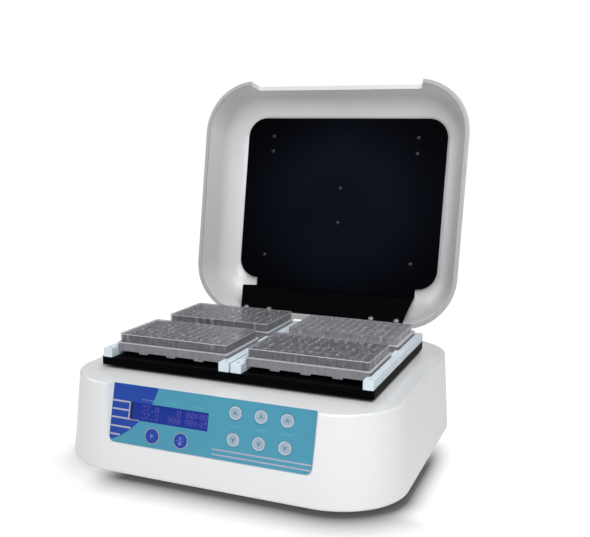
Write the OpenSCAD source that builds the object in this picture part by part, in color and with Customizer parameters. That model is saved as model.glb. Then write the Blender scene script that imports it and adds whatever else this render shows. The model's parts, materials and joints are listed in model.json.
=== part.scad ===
// Microplate incubator: a hinged lid over a heated platform that orbits with four 96-well plates.
// Millimetres, +Z up, +X to the right seen from the front, -Y towards the front panel.
// The origin is on the standing surface, under the middle of the outline with the lid open.

/* [Base housing] */
// Half width of the housing at its top edge
rim_half_x = 171; // [165:1:176]
// Half depth of the housing at its top edge
rim_half_y = 163.3; // [161:0.1:168]
// Corner radius of the housing at its top edge, seen from above
rim_corner_r = 66; // [60:1:70]
// Height of the housing from its bottom edge to its top edge
housing_h = 88; // [84:1:94]
// How far the walls flare out from the top edge down to the bottom edge
flare = 7.5; // [4:0.5:9]
// Wall thickness of the housing
housing_wall = 3; // [2.5:0.5:3.5]
// Rounding of the top edge of the housing
top_edge_r = 2.5; // [1.5:0.5:4]
// Rounding of the bottom edge of the housing
low_edge_r = 3; // [1.5:0.5:4]
// Height of the rubber feet
foot_h = 6; // [4:1:9]

/* [Front panel] */
// Half width of the leaning panel
panel_half_x = 105.5; // [104:0.5:110]
// Length of the panel down its slope
panel_len = 58.7; // [58:0.1:62]
// How far the panel leans back from upright, in degrees
panel_lean = 12.2; // [8:0.1:14]
// How far the top of the panel is set back from the top edge of the housing
panel_setback = 8.6; // [7:0.1:10]
// Corner radius of the lower corners of the panel
panel_corner_r = 6; // [4:0.5:8]
// Widening of the recess sides for each millimetre of depth
recess_draft = 0.4; // [0.2:0.05:0.6]
// Thickness of the printed panel sheet
overlay_t = 0.6; // [0.3:0.1:0.8]
// Left edge, right edge, top and bottom of the display window, down the slope
window_box = [-83.7, -0.1, 17, 34.3];
// Radius of the two round keys
round_key_r = 6.7; // [6:0.1:7]
// Radius of the six arrow keys
arrow_key_r = 6.1; // [5.5:0.1:7]
// Distance from the panel top to the middles of the round keys
round_key_d = 47; // [45:0.5:49]
// Middles of the two round keys across the panel
round_key_x = [-57.8, -26.9];
// Middles of the three columns of arrow keys across the panel
arrow_key_x = [27, 52.7, 78.3];
// Distance from the panel top to the middles of the upper and the lower arrow keys
arrow_key_d = [13.1, 37.9];
// Travel of a key
key_travel = 0.45; // [0.2:0.05:0.5]

/* [Lid] */
// Opening angle of the lid, in degrees
lid_open = 98.36; // [80:0.01:102]
// Distance of the hinge axis behind the middle of the base
hinge_y = 149.5; // [148:0.5:151]
// Height of the hinge axis above the top edge of the housing
hinge_rise = 0.9; // [0.7:0.1:1.5]
// Distance of the lid's back edge in front of the hinge axis
lid_back_u = 11; // [10:0.5:12]
// Distance of the lid's front edge in front of the hinge axis
lid_front_u = 313.5; // [310:0.5:315]
// Height of the lid
lid_h = 72; // [70:1:76]
// Wall thickness of the lid at its edge
lid_wall = 5; // [4:0.5:6]
// Wall thickness of the lid's top
lid_top_t = 4; // [3:0.5:4]
// Rounding of the lid's edge
lid_edge_r = 1.2; // [0.5:0.1:1.6]
// Inward slope of the lid walls, in degrees
lid_draft = 10; // [6:1:12]
// Radius with which the lid walls run into its top
lid_arc_r = 44; // [38:1:46]
// Half width of the finger notch at the lid edge and at its floor
notch_half_x = [112, 108];
// Depth of the finger notch in the front wall of the lid
notch_h = 20; // [15:1:24]
// Height of the black inner plate's face above the lid edge
liner_w = 62.2; // [61:0.1:63]
// Half width of the black inner plate
liner_half_x = 135.3; // [125:0.1:136]
// Distance of the inner plate's back and front edges from the hinge axis
liner_u = [59.4, 276.2];
// Corner radius of the inner plate
liner_corner_r = 25; // [15:1:30]
// Slope of the bracket leaf up from the plane of the lid edge, in degrees
leaf_slope = 31; // [28:1:34]
// Distance of the hinges from the middle
hinge_x = 84; // [80:1:86]

/* [Platform and rails] */
// Left and right edges of the platform
platform_x = [-147.5, 145];
// Front and back edges of the platform
platform_y = [-113, 106];
// Thickness of the platform
platform_t = 8.5; // [7:0.5:9]
// Gap between the deck of the housing and the platform
platform_gap = 3; // [3:0.5:6]
// Corner radius of the platform
platform_corner_r = 4; // [2:1:12]
// Height of the rails above the platform
rail_h = 9; // [8:0.5:13]
// Height of the ledge that carries the plates, above the platform
ledge_h = 2.5; // [2:0.5:4]
// Front and back ends of the rails
rail_y = [-113, 105];
// Orbit diameter of the platform
orbit_d = 3; // [1:0.5:3]

/* [Microplates] */
// Length, depth and height of the foot rim of a microplate
plate_foot = [127.76, 85.48, 10.4];
// Height of a microplate
plate_h = 18; // [17:0.5:18]
// Distance of the plate middles from the middle line, across and in depth
plate_place = [73.5, 55.5];
// Distance from one well to the next
well_pitch = 9; // [8.8:0.1:9]
// Wells along and across a plate
well_grid = [12, 8];
// Bore and depth of a well
well_size = [6.8, 11];
// Length, depth and height of a plate lid
plate_cover = [123.9, 80.7, 8.8];

/* [Hidden] */
$fn = 48;

// Small overlap that makes a cut go right through
cut = 1;
// Running clearance of a shaft in its bearing, on the radius
fit = 0.05;
// Depth of a sunk head: the leaves of the hinges and the rails have their screws this far down
sunk_leaf_d = 0.05;
sunk_rail_d = 3;

// Heights and walls of the base
rim_z = foot_h + housing_h;
flare_angle = atan(flare / housing_h);
deck_low_z = rim_z - housing_wall;
corner_x = rim_half_x - rim_corner_r;
corner_y = rim_half_y - rim_corner_r;
bottom_plate_t = 2;
bottom_plate_top = foot_h + bottom_plate_t;

// Screw posts of the bottom plate: one in each corner, two at the front and two at the back
post_r = 5;
post_top = 30;
post_reach = rim_corner_r + 0.5;
side_post_y = corner_y + post_reach - 1.5;
post_places = concat(
    mirrored([corner_x + post_reach * cos(45), corner_y + post_reach * sin(45)]),
    [for (sx = [-1, 1]) [sx * 60, -side_post_y]],
    [for (sx = [-1, 1]) [sx * 24, side_post_y]]
);
foot_places = mirrored([122, 112]);

// Board behind the panel: its standoffs, its face and the length of the key stems
standoff_r = 3;
standoff_places = [for (x = [-100, 8, 98], d = [7, 54]) [x, d]];
standoff_len = 8.9;
board_out = -housing_wall - standoff_len - 0.1;
board_t = 1.6;
stem_r = 2.5;
stem_low = -6;
stem_hole_r = 2.8;

// Lid frame: u runs forward from the hinge axis and w up from the lid edge with the lid shut
hinge_z = rim_z + hinge_rise;
lid_mid_u = (lid_back_u + lid_front_u) / 2;
lid_corner_y = (lid_front_u - lid_back_u) / 2 - rim_corner_r;
lid_arc_w = lid_h - lid_arc_r;
lid_arc_in = (lid_arc_r + lid_arc_w * sin(lid_draft)) / cos(lid_draft);

// Hinges: half length, barrel radius, length and thickness of the leaf on the base
hinge_half = 19;
knuckle_half = 7;
barrel_r = 5.5;
barrel_gap = 0.8;
hinge_pin_r = 2;
base_leaf = [24, 2];
pocket_low_z = hinge_z - barrel_r - 0.6;
leaf_screw_x = 12;
leaf_screw_y = -16;
leaf_screw_r = 1.5;
leaf_screw_head_r = 3.1;

// Middle of the outline in depth: from the front bottom edge to the back of the open lid
outline_front = -(rim_half_y + flare);
outline_back = hinge_y - (lid_mid_u + lid_corner_y + rim_corner_r - lid_arc_in) * cos(lid_open)
    + lid_arc_w * sin(lid_open) + lid_arc_r;
outline_mid = (outline_front + outline_back) / 2;

// Platform and plates
platform_mid = [(platform_x[0] + platform_x[1]) / 2, (platform_y[0] + platform_y[1]) / 2];
platform_half = [(platform_x[1] - platform_x[0]) / 2, (platform_y[1] - platform_y[0]) / 2];
platform_low_z = rim_z + platform_gap;
platform_z = platform_low_z + platform_t;
seat_clear = 0.1;
seat_z = platform_z + ledge_h + seat_clear;
plate_inner_x = plate_place.x - plate_foot.x / 2;
plate_outer_x = plate_place.x + plate_foot.x / 2;
rail_side_clear = 0.3;
orbit_r = orbit_d / 2;

// Rails of the right-hand side in X: a wall beside the plates and a ledge that carries them
outer_wall_x = [plate_outer_x + rail_side_clear, 144.5];
outer_ledge_x = [134.5, plate_outer_x + rail_side_clear];
inner_wall_x = [1, plate_inner_x - rail_side_clear];
inner_ledge_x = [plate_inner_x - rail_side_clear, 12];
// Stops of the rails in Y: in front of, behind and between the plates
stop_front = -(plate_place.y + plate_foot.y / 2) - 0.8;
stop_back = plate_place.y + plate_foot.y / 2 + 0.8;
stop_mid = plate_place.y - plate_foot.y / 2 - 0.4;
rail_screw_x = [6.5, 140];
rail_screw_places = [for (sx = [-1, 1], x = rail_screw_x, y = [-106, 0, 102]) [sx * x, y]];
rail_screw_r = 1.25;
rail_screw_bite = 4;
rail_head_r = 2.2;

// Drive: heights of the chassis, the shafts and their bearings
chassis_z = 47;
chassis_t = 5;
chassis_half = [118, 88];
chassis_top = chassis_z + chassis_t;
chassis_post_places = mirrored([108, 40]);
idler_place = [100, 72];
shaft_r = 6;
pin_r = 5;
idler_r = 4;
idler_pin_r = 2.5;
ring_w = 8;
idler_ring_w = 5;
ring_r = 14;
idler_ring_r = 8;
block_top = 78;
idler_block_top = 84;
hub_r = 18;
hub_low_z = platform_low_z - 10;
hub_flange = [28, 2.5];
hub_ring_r = 13;
pin_ring_r = 6.5;

// Motor under the chassis, and the screws round its shaft
motor_r = 28;
motor_shaft_r = 3;
motor_screw_at = 19;
machine_screw_r = 2;
machine_hole_r = 2.2;
// Feet of the bearing blocks, with two screws beside each idler and four round the main shaft
block_foot_t = 6;
block_r = 20;
block_flange_r = 34;
block_screw_at = 29;
idler_block_r = 12;
idler_foot = [22, 10];
idler_screw_at = 17;
block_screw_places = concat(
    [for (p = mirrored(idler_place), s = [-1, 1]) [p.x + s * idler_screw_at, p.y]],
    [for (a = [0:90:270]) block_screw_at * [cos(a), sin(a)]]
);

// Lid: the black inner plate with the places of its screws, across and forward from the hinge
liner_t = 2;
liner_screws = [
    [-98.5, 252], [98.5, 252], [-98.5, 232], [98.5, 232], [0, 185], [0, 139], [-100.5, 91], [100.5, 91],
];
// Mat and insulation behind it: middle in u and half sizes
lid_pad_u = 165;
lid_mat_half = [116, 92];
lid_foam_half = [112, 88];
pad_corner_r = 10;
pad_hole_r = 6;
// Bracket below it: half width of its neck, its shelf, its sloping leaf and the two screw tabs
neck_half_x = 109;
shelf_u = 46.6;
shelf_w = 28;
leaf_t = 2;
leaf_top_r = 54.4;
leaf_low_r = 16.5;
leaf_root_r = leaf_low_r + 5;
bracket_half = [114.4, 108];
tab_x = [58, 108];
bracket_screw_x = [68, 100];
bracket_screw_r = 22.4;

// Places on the back wall: across, height of the middle
inlet_place = [52, 44];
switch_place = [90, 44];
fuse_place = [12, 44];
inlet_half = [13.5, 10.5];
switch_half = [6.5, 10.5];
fuse_r = 6;
wall_hole_clear = 0.3;
rocker_r = 9.2;
rocker_throw = 20;

// Points along an arc from one angle to another
function arc(c, r, from, to, steps = 8) =
    [for (i = [0:steps]) let (a = from + (to - from) * i / steps) c + r * [cos(a), sin(a)]];

function mirrored(p) = [for (sx = [-1, 1], sy = [-1, 1]) [sx * p.x, sy * p.y]];

// Moves from the middle of the base to the origin of the whole outline
module placed() {
    translate([0, -outline_mid, 0]) children();
}

// Lid parts are drawn shut at the hinge axis, with +Y towards the back, and turned open
module on_lid() {
    placed() translate([0, hinge_y, hinge_z]) rotate([-lid_open, 0, 0]) children();
}

// Panel parts: X across, Y up the slope from the panel's top edge, Z out of the panel
module on_panel(x = 0, d = 0, out = 0) {
    translate([0, panel_setback - rim_half_y, rim_z]) rotate([90 - panel_lean, 0, 0])
        translate([x, -d, out]) children();
}

// Back wall parts: X across seen from behind, Y up the wall, Z out of the wall
module on_back(place) {
    translate([place.x, rim_half_y + (rim_z - place.y) * tan(flare_angle), place.y])
        rotate([flare_angle - 90, 0, 0]) rotate([0, 0, 180]) children();
}

// Carries a wall profile round four corners and along the four sides between them
module swept(cx, cy) {
    for (i = [0:3]) {
        along = i % 2 == 0 ? cy : cx;
        out = i % 2 == 0 ? cx : cy;
        rotate(90 * i) {
            translate([out, along, 0]) rotate_extrude(angle = 90) children();
            translate([out, along, 0]) rotate([90, 0, 0]) linear_extrude(2 * along) children();
        }
    }
}

// Flat outline with four round corners
module round_box(half_x, half_y, r) {
    square([2 * (half_x - r), 2 * half_y], center = true);
    square([2 * half_x, 2 * (half_y - r)], center = true);
    for (p = mirrored([half_x - r, half_y - r])) translate(p) circle(r);
}

module block(x, y, z) {
    translate([x[0], y[0], z[0]]) cube([x[1] - x[0], y[1] - y[0], z[1] - z[0]]);
}

module rod(r, z0, z1) {
    translate([0, 0, z0]) cylinder(r = r, h = z1 - z0);
}

module ring(r, bore, z0, z1) {
    difference() {
        rod(r, z0, z1);
        rod(bore, z0 - cut, z1 + cut);
    }
}

// Screw with a domed head and a cross recess: head up, its underside at z = 0
module dome_screw(head_r, head_h, shank_r, shank) {
    ball = (head_r * head_r + head_h * head_h) / (2 * head_h);
    slot = head_r * 0.25;
    difference() {
        intersection() {
            translate([0, 0, head_h - ball]) sphere(ball);
            rod(head_r, 0, head_h);
        }
        for (a = [0, 90]) rotate(a)
            translate([-head_r * 0.6, -slot / 2, head_h * 0.45]) cube([head_r * 1.2, slot, head_h]);
    }
    rod(shank_r, -shank, 0);
}

// Screw with a flat countersunk head: its top at z = 0
module flush_screw(head_r, shank_r, shank) {
    translate([0, 0, shank_r - head_r]) cylinder(r1 = shank_r, r2 = head_r, h = head_r - shank_r);
    rod(shank_r, -shank, shank_r - head_r);
}

// Housing

module housing_outline() {
    n = [cos(flare_angle), sin(flare_angle)];
    top_c = [rim_corner_r - top_edge_r * (1 - n.y) / n.x, rim_z - top_edge_r];
    low_c = [rim_corner_r + flare - low_edge_r * (1 + n.y) / n.x, foot_h + low_edge_r];
    polygon(concat(
        [[0, foot_h]], arc(low_c, low_edge_r, -90, flare_angle),
        arc(top_c, top_edge_r, flare_angle, 90), [[0, rim_z]]
    ));
}

module cavity_outline() {
    r_top = rim_corner_r - housing_wall + housing_wall * tan(flare_angle);
    r_low = rim_corner_r - housing_wall + (housing_h + cut) * tan(flare_angle);
    polygon([[0, foot_h - cut], [r_low, foot_h - cut], [r_top, deck_low_z], [0, deck_low_z]]);
}

// Recess of the panel, grown by a wall thickness for the pan behind it
module panel_recess(grow = 0) {
    reach = 14;
    top = 20;
    skin = 0.01;
    hull() for (out = [-grow, reach]) {
        half = panel_half_x + grow + recess_draft * max(out, 0);
        low = panel_len + grow + recess_draft * max(out, 0);
        on_panel(0, 0, out) linear_extrude(skin) {
            for (sx = [-1, 1]) translate([sx * (half - panel_corner_r), panel_corner_r - low])
                circle(panel_corner_r, $fn = 32);
            translate([-half, 0]) square([2 * half, top]);
        }
    }
}

// Bed of the barrels, and the shallow bed of the leaf in front of them
module hinge_pocket() {
    half = hinge_half + 0.5;
    block([-half, half], [-barrel_r - barrel_gap, barrel_r + barrel_gap], [pocket_low_z, rim_z + cut]);
    block([-half, half], [-base_leaf[0] - 0.3, 0], [rim_z - base_leaf[1] - 0.05, rim_z + cut]);
}

module base_housing() {
    boss_t = 3;
    screw_hole_r = 1.3;
    board_hole_r = 1.1;
    hub_hole_r = hub_r + 6;
    idler_hole_r = 7;
    color("white") placed() difference() {
        union() {
            swept(corner_x, corner_y) housing_outline();
            block([-corner_x, corner_x], [-corner_y, corner_y], [foot_h, rim_z]);
        }
        difference() {
            union() {
                swept(corner_x, corner_y) cavity_outline();
                block([-corner_x, corner_x], [-corner_y, corner_y], [foot_h - cut, deck_low_z]);
            }
            panel_recess(housing_wall);
            for (p = post_places) translate(p) rod(post_r, bottom_plate_top + 0.05, post_top);
            for (p = standoff_places) on_panel(p.x, p.y)
                rod(standoff_r, -housing_wall - standoff_len, -housing_wall + cut);
            for (sx = [-1, 1]) translate([sx * hinge_x, hinge_y, 0])
                block([-hinge_half - boss_t, hinge_half + boss_t],
                    [-base_leaf[0] - boss_t, barrel_r + barrel_gap + boss_t],
                    [pocket_low_z - boss_t, rim_z]);
        }
        panel_recess();
        for (p = post_places) translate(p) rod(screw_hole_r, foot_h, post_top - housing_wall);
        for (p = standoff_places) on_panel(p.x, p.y)
            rod(board_hole_r, -housing_wall - standoff_len - cut, -housing_wall);
        on_panel() block([window_box[0], window_box[1]], [-window_box[3], -window_box[2]],
            [-housing_wall - cut, cut]);
        for (x = round_key_x) on_panel(x, round_key_d) rod(stem_hole_r, -housing_wall - cut, cut);
        for (x = arrow_key_x, d = arrow_key_d) on_panel(x, d)
            rod(stem_hole_r, -housing_wall - cut, cut);
        rod(hub_hole_r, deck_low_z - cut, rim_z + cut);
        for (p = mirrored(idler_place)) translate(p) rod(idler_hole_r, deck_low_z - cut, rim_z + cut);
        for (sx = [-1, 1]) translate([sx * hinge_x, hinge_y, 0]) {
            hinge_pocket();
            for (dx = [-1, 1]) translate([dx * leaf_screw_x, leaf_screw_y, 0])
                rod(leaf_screw_r + 0.1, pocket_low_z - boss_t - cut, rim_z);
        }
        on_back(inlet_place) wall_hole(inlet_half);
        on_back(switch_place) wall_hole(switch_half);
        on_back(fuse_place) rod(fuse_r + 0.2, -housing_wall * 2, cut);
    }
}

// Opening in the back wall for a fitting
module wall_hole(half) {
    h = half + wall_hole_clear * [1, 1];
    block([-h.x, h.x], [-h.y, h.y], [-housing_wall * 2, cut]);
}

module bottom_plate() {
    clear = 0.4;
    reach = rim_corner_r + flare - housing_wall - clear;
    vent_half = [23, 1.5];
    vent_pitch = 9;
    vent_middle = [66, -66];
    color("gainsboro") placed() difference() {
        translate([0, 0, foot_h]) linear_extrude(bottom_plate_t)
            round_box(corner_x + reach, corner_y + reach, reach);
        for (p = post_places) translate(p) rod(1.7, foot_h - cut, bottom_plate_top + cut);
        for (sx = [-1, 1], i = [-4:4]) translate([sx * vent_middle.x, i * vent_pitch + vent_middle.y])
            block([-vent_half.x, vent_half.x], [-vent_half.y, vent_half.y],
                [foot_h - cut, bottom_plate_top + cut]);
        for (p = concat(foot_places, chassis_post_places)) translate(p)
            rod(machine_hole_r, foot_h - cut, bottom_plate_top + cut);
    }
}

module rubber_feet() {
    low_r = 10.5;
    top_r = 12;
    stem = 2.1;
    barb = 4;
    barb_h = 2;
    recess_r = 6;
    recess_d = 1.5;
    color("dimgray") placed() for (p = foot_places) translate(p) difference() {
        union() {
            cylinder(r1 = low_r, r2 = top_r, h = foot_h);
            rod(stem, foot_h, bottom_plate_top + barb_h + cut);
            rod(barb, bottom_plate_top, bottom_plate_top + barb_h);
        }
        rod(recess_r, -cut, recess_d);
    }
}

module bottom_screws() {
    color("silver") placed() {
        for (p = post_places) translate([p.x, p.y, foot_h]) mirror([0, 0, 1])
            dome_screw(3, 1.8, 1.25, 12);
        for (p = chassis_post_places) translate([p.x, p.y, foot_h]) mirror([0, 0, 1])
            dome_screw(3.5, 2, 2, 14);
    }
}

// Front panel

module panel_overlay() {
    edge_clear = 0.4;
    key_clear = 0.3;
    half = panel_half_x - edge_clear;
    len = panel_len - 2 * edge_clear;
    color("steelblue") placed() on_panel() difference() {
        translate([0, -edge_clear - len / 2, 0.02]) linear_extrude(overlay_t) {
            square([2 * (half - panel_corner_r), len], center = true);
            translate([-half, panel_corner_r - len / 2]) square([2 * half, len - panel_corner_r]);
            for (sx = [-1, 1]) translate([sx * (half - panel_corner_r), panel_corner_r - len / 2])
                circle(panel_corner_r);
        }
        block([window_box[0], window_box[1]], [-window_box[3], -window_box[2]], [-cut, cut]);
        for (x = round_key_x) translate([x, -round_key_d]) rod(round_key_r + key_clear, -cut, cut);
        for (x = arrow_key_x, d = arrow_key_d) translate([x, -d])
            rod(arrow_key_r + key_clear, -cut, cut);
    }
}

module lcd_window() {
    clear = 0.15;
    color("royalblue") placed() on_panel()
        block([window_box[0] + clear, window_box[1] - clear],
            [clear - window_box[3], -window_box[2] - clear], [-housing_wall, overlay_t + 0.1]);
}

module lcd_module() {
    x = (window_box[0] + window_box[1]) / 2;
    d = (window_box[2] + window_box[3]) / 2;
    face = -housing_wall - 0.1;
    frame_half = [45, 12.5];
    frame_t = 4.5;
    card_half = [47, 17.5];
    card_t = 1.6;
    color("darkslategray") placed() on_panel(x, d) {
        block([-frame_half.x, frame_half.x], [-frame_half.y, frame_half.y], [face - frame_t, face]);
        difference() {
            block([-card_half.x, card_half.x], [-card_half.y, card_half.y],
                [face - frame_t - card_t, face - frame_t]);
            for (p = mirrored(card_half - [2.5, 2.5])) translate(p)
                rod(1.3, face - frame_t - card_t - cut, face);
        }
    }
}

module control_board() {
    half_x = 104;
    edges_d = [4, 57];
    hole_r = 1.3;
    plug_half_x = 30;
    plug_d = [40, 52];
    plug_out = 8;
    color("darkgreen") placed() on_panel() {
        difference() {
            block([-half_x, half_x], [-edges_d[1], -edges_d[0]], [board_out - board_t, board_out]);
            for (p = standoff_places) translate([p.x, -p.y])
                rod(hole_r, board_out - board_t - cut, board_out + cut);
        }
        for (x = round_key_x) translate([x, -round_key_d, board_out]) tact_switch();
        for (x = arrow_key_x, d = arrow_key_d) translate([x, -d, board_out]) tact_switch();
        block([-plug_half_x, plug_half_x], [-plug_d[1], -plug_d[0]],
            [board_out - plug_out, board_out - board_t]);
    }
}

module tact_switch() {
    gap = 0.6;
    half = 3;
    top = stem_low - gap - board_out;
    block([-half, half], [-half, half], [0, top - 1]);
    rod(1.7, top - 1, top);
}

// Key with its cap above the panel sheet, a stem through the pan and a collar behind it
module panel_key(x, d, r) {
    low = 0.1 + key_travel;
    cap_t = 1;
    collar_r = 3.9;
    collar = [1.2, 0.15];
    placed() on_panel(x, d) {
        rod(r, low, low + cap_t);
        rod(stem_r, stem_low, low);
        rod(collar_r, -housing_wall - collar[0], -housing_wall - collar[1]);
    }
}

module start_key() {
    color("navy") panel_key(round_key_x[0], round_key_d, round_key_r);
}

module mode_key() {
    color("navy") panel_key(round_key_x[1], round_key_d, round_key_r);
}

module up_key(i) {
    color("silver") panel_key(arrow_key_x[i], arrow_key_d[0], arrow_key_r);
}

module down_key(i) {
    color("silver") panel_key(arrow_key_x[i], arrow_key_d[1], arrow_key_r);
}

// Inside the base

module power_supply() {
    x = [-114, -8];
    y = [98, 148];
    floor_z = bottom_plate_top + 3;
    wall_t = 1.5;
    top_z = bottom_plate_top + 34;
    card_z = floor_z + 1.6;
    core_x = [-100, -66];
    core_y = [106, 140];
    color("silver") placed() {
        difference() {
            block(x, y, [bottom_plate_top, top_z]);
            block([x[0] + wall_t, x[1] - wall_t], [y[0] + wall_t, y[1] - wall_t], [floor_z, top_z + cut]);
        }
        block([x[0] + 6, x[1] - 6], [y[0] + 4, y[1] - 4], [floor_z, card_z]);
        block(core_x, core_y, [card_z, top_z - 6]);
        for (cx = [-50, -30]) translate([cx, (y[0] + y[1]) / 2]) rod(7, card_z, top_z - 8);
    }
}

module drive_chassis() {
    corner_r = 10;
    shaft_hole_r = 11;
    post_outer_r = 6;
    post_bore_r = 2.05;
    color("silver") placed() {
        difference() {
            translate([0, 0, chassis_z]) linear_extrude(chassis_t)
                round_box(chassis_half.x, chassis_half.y, corner_r);
            rod(shaft_hole_r, chassis_z - cut, chassis_top + cut);
            for (a = [45:90:315]) rotate(a) translate([motor_screw_at, 0])
                rod(machine_hole_r, chassis_z - cut, chassis_top + cut);
            for (p = block_screw_places) translate(p)
                rod(machine_hole_r, chassis_z - cut, chassis_top + cut);
        }
        for (p = chassis_post_places) translate(p)
            ring(post_outer_r, post_bore_r, bottom_plate_top, chassis_z);
    }
}

module chassis_screws() {
    head_r = 3.5;
    head_h = 2.2;
    color("dimgray") placed() {
        for (p = block_screw_places) translate([p.x, p.y, chassis_top + block_foot_t])
            dome_screw(head_r, head_h, machine_screw_r, 10);
        for (a = [45:90:315]) rotate(a) translate([motor_screw_at, 0, chassis_top])
            dome_screw(head_r, head_h, machine_screw_r, 9);
    }
}

module drive_motor() {
    low_z = 13;
    rim_t = 3;
    plug = [36, 8];
    plug_z = [18, 30];
    bore_low_z = 30;
    screw_hole_d = 8;
    color("slategray") placed() difference() {
        union() {
            rod(motor_r, low_z, chassis_z);
            rod(motor_r + 2, low_z, low_z + rim_t);
            block([motor_r, plug.x], [-plug.y, plug.y], plug_z);
        }
        rod(motor_shaft_r + fit, bore_low_z, chassis_z + cut);
        for (a = [45:90:315]) rotate(a) translate([motor_screw_at, 0])
            rod(machine_screw_r + 0.1, chassis_z - screw_hole_d, chassis_z + cut);
    }
}

module bearing_blocks() {
    foot_top = chassis_top + block_foot_t;
    low_z = chassis_top - cut;
    head_hole_r = 4;
    color("gray") placed() {
        difference() {
            union() {
                rod(block_flange_r, chassis_top, foot_top);
                rod(block_r, chassis_top, block_top);
            }
            rod(ring_r, low_z, block_top + cut);
            for (a = [0:90:270]) rotate(a) translate([block_screw_at, 0])
                rod(machine_screw_r + 0.1, low_z, foot_top + cut);
            for (a = [45:90:315]) rotate(a) translate([motor_screw_at, 0])
                rod(head_hole_r, low_z, block_top + cut);
        }
        for (p = mirrored(idler_place)) translate(p) difference() {
            union() {
                block([-idler_foot.x, idler_foot.x], [-idler_foot.y, idler_foot.y],
                    [chassis_top, foot_top]);
                rod(idler_block_r, chassis_top, idler_block_top);
            }
            rod(idler_ring_r, low_z, idler_block_top + cut);
            for (s = [-1, 1]) translate([s * idler_screw_at, 0])
                rod(machine_screw_r + 0.1, low_z, foot_top + cut);
        }
    }
}

module shaft_bearings() {
    low_z = chassis_top + 2;
    color("lightsteelblue") placed() {
        for (z = [low_z, block_top - 2 - ring_w]) ring(ring_r, shaft_r + fit, z, z + ring_w);
        for (p = mirrored(idler_place), z = [low_z, idler_block_top - 1 - idler_ring_w])
            translate(p) ring(idler_ring_r, idler_r + fit, z, z + idler_ring_w);
    }
}

// Back wall

module power_inlet() {
    flange_half = [25, 13];
    flange = [0.05, 3];
    body_d = -22;
    socket_half = [11.7, 7.8];
    socket_d = -19;
    screw_x = 20;
    pin_half = [1, 2];
    pin_tip = -7;
    color("black") placed() on_back(inlet_place) {
        difference() {
            union() {
                block([-flange_half.x, flange_half.x], [-flange_half.y, flange_half.y], flange);
                block([-inlet_half.x, inlet_half.x], [-inlet_half.y, inlet_half.y], [body_d, flange[0]]);
            }
            block([-socket_half.x, socket_half.x], [-socket_half.y, socket_half.y],
                [socket_d, flange[1] + cut]);
            for (s = [-1, 1]) translate([s * screw_x, 0]) rod(1.7, -cut, flange[1] + cut);
        }
        for (p = [[-7, -2.5], [0, 2.5], [7, -2.5]]) translate(p)
            block([-pin_half.x, pin_half.x], [-pin_half.y, pin_half.y], [body_d + cut, pin_tip]);
    }
}

module fuse_holder() {
    body_d = -24;
    cap_r = 7.8;
    cap = [0.05, 4.5];
    slot_half = [6, 0.7];
    slot_d = 1.2;
    color("black") placed() on_back(fuse_place) {
        rod(fuse_r, body_d, cap[0]);
        difference() {
            rod(cap_r, cap[0], cap[1]);
            block([-slot_half.x, slot_half.x], [-slot_half.y, slot_half.y],
                [cap[1] - slot_d, cap[1] + cut]);
        }
    }
}

module switch_bezel() {
    flange_half = [8.5, 12.5];
    flange = [0.05, 2];
    body_d = -16;
    well_half = [5.3, 9.5];
    well_d = -10.5;
    axle_hole = [0.9, 6];
    color("black") placed() on_back(switch_place) difference() {
        union() {
            block([-flange_half.x, flange_half.x], [-flange_half.y, flange_half.y], flange);
            block([-switch_half.x, switch_half.x], [-switch_half.y, switch_half.y], [body_d, flange[0]]);
        }
        block([-well_half.x, well_half.x], [-well_half.y, well_half.y], [well_d, flange[1] + cut]);
        rotate([0, 90, 0]) rod(axle_hole[0], -axle_hole[1], axle_hole[1]);
    }
}

module power_rocker() {
    half_w = 5;
    low = -1.6;
    shoulder = 2.6;
    ridge = 5;
    reach = 12;
    axle = [0.85, 5.8];
    color("crimson") placed() on_back(switch_place) {
        rotate([-rocker_throw / 2, 0, 0]) rotate([90, 0, 90])
            translate([0, 0, -half_w]) linear_extrude(2 * half_w) intersection() {
                circle(rocker_r);
                polygon([[-reach, low], [reach, low], [reach, shoulder], [0, ridge], [-reach, shoulder]]);
            }
        rotate([0, 90, 0]) rod(axle[0], -axle[1], axle[1]);
    }
}

// Hinges

module hinge_bases() {
    sink_d = 1.5;
    color("silver") placed() for (sx = [-1, 1]) translate([sx * hinge_x, hinge_y, hinge_z])
        difference() {
            union() {
                for (x = [-hinge_half, knuckle_half]) translate([x, 0, 0]) rotate([0, 90, 0])
                    cylinder(r = barrel_r, h = hinge_half - knuckle_half);
                block([-hinge_half, hinge_half], [-base_leaf[0], -hinge_pin_r],
                    [-hinge_rise - base_leaf[1], -hinge_rise]);
            }
            block([-knuckle_half, knuckle_half], [-barrel_r - barrel_gap, 0], [-barrel_r, barrel_r]);
            rotate([0, 90, 0]) rod(hinge_pin_r, -hinge_half - cut, hinge_half + cut);
            for (dx = [-1, 1]) translate([dx * leaf_screw_x, leaf_screw_y, -hinge_rise]) {
                rod(leaf_screw_r + 0.2, -base_leaf[1] - cut, cut);
                translate([0, 0, -sink_d])
                    cylinder(r1 = leaf_screw_r + 0.2, r2 = leaf_screw_head_r + 0.2, h = sink_d + 0.1);
            }
        }
}

module hinge_pins() {
    color("dimgray") placed() for (sx = [-1, 1]) translate([sx * hinge_x, hinge_y, hinge_z])
        rotate([0, 90, 0]) rod(hinge_pin_r, -hinge_half, hinge_half);
}

module hinge_screws() {
    color("dimgray") placed() for (sx = [-1, 1], dx = [-1, 1])
        translate([sx * hinge_x + dx * leaf_screw_x, hinge_y + leaf_screw_y, rim_z - sunk_leaf_d])
            flush_screw(leaf_screw_head_r, leaf_screw_r, 8);
}

// Drive

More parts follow.
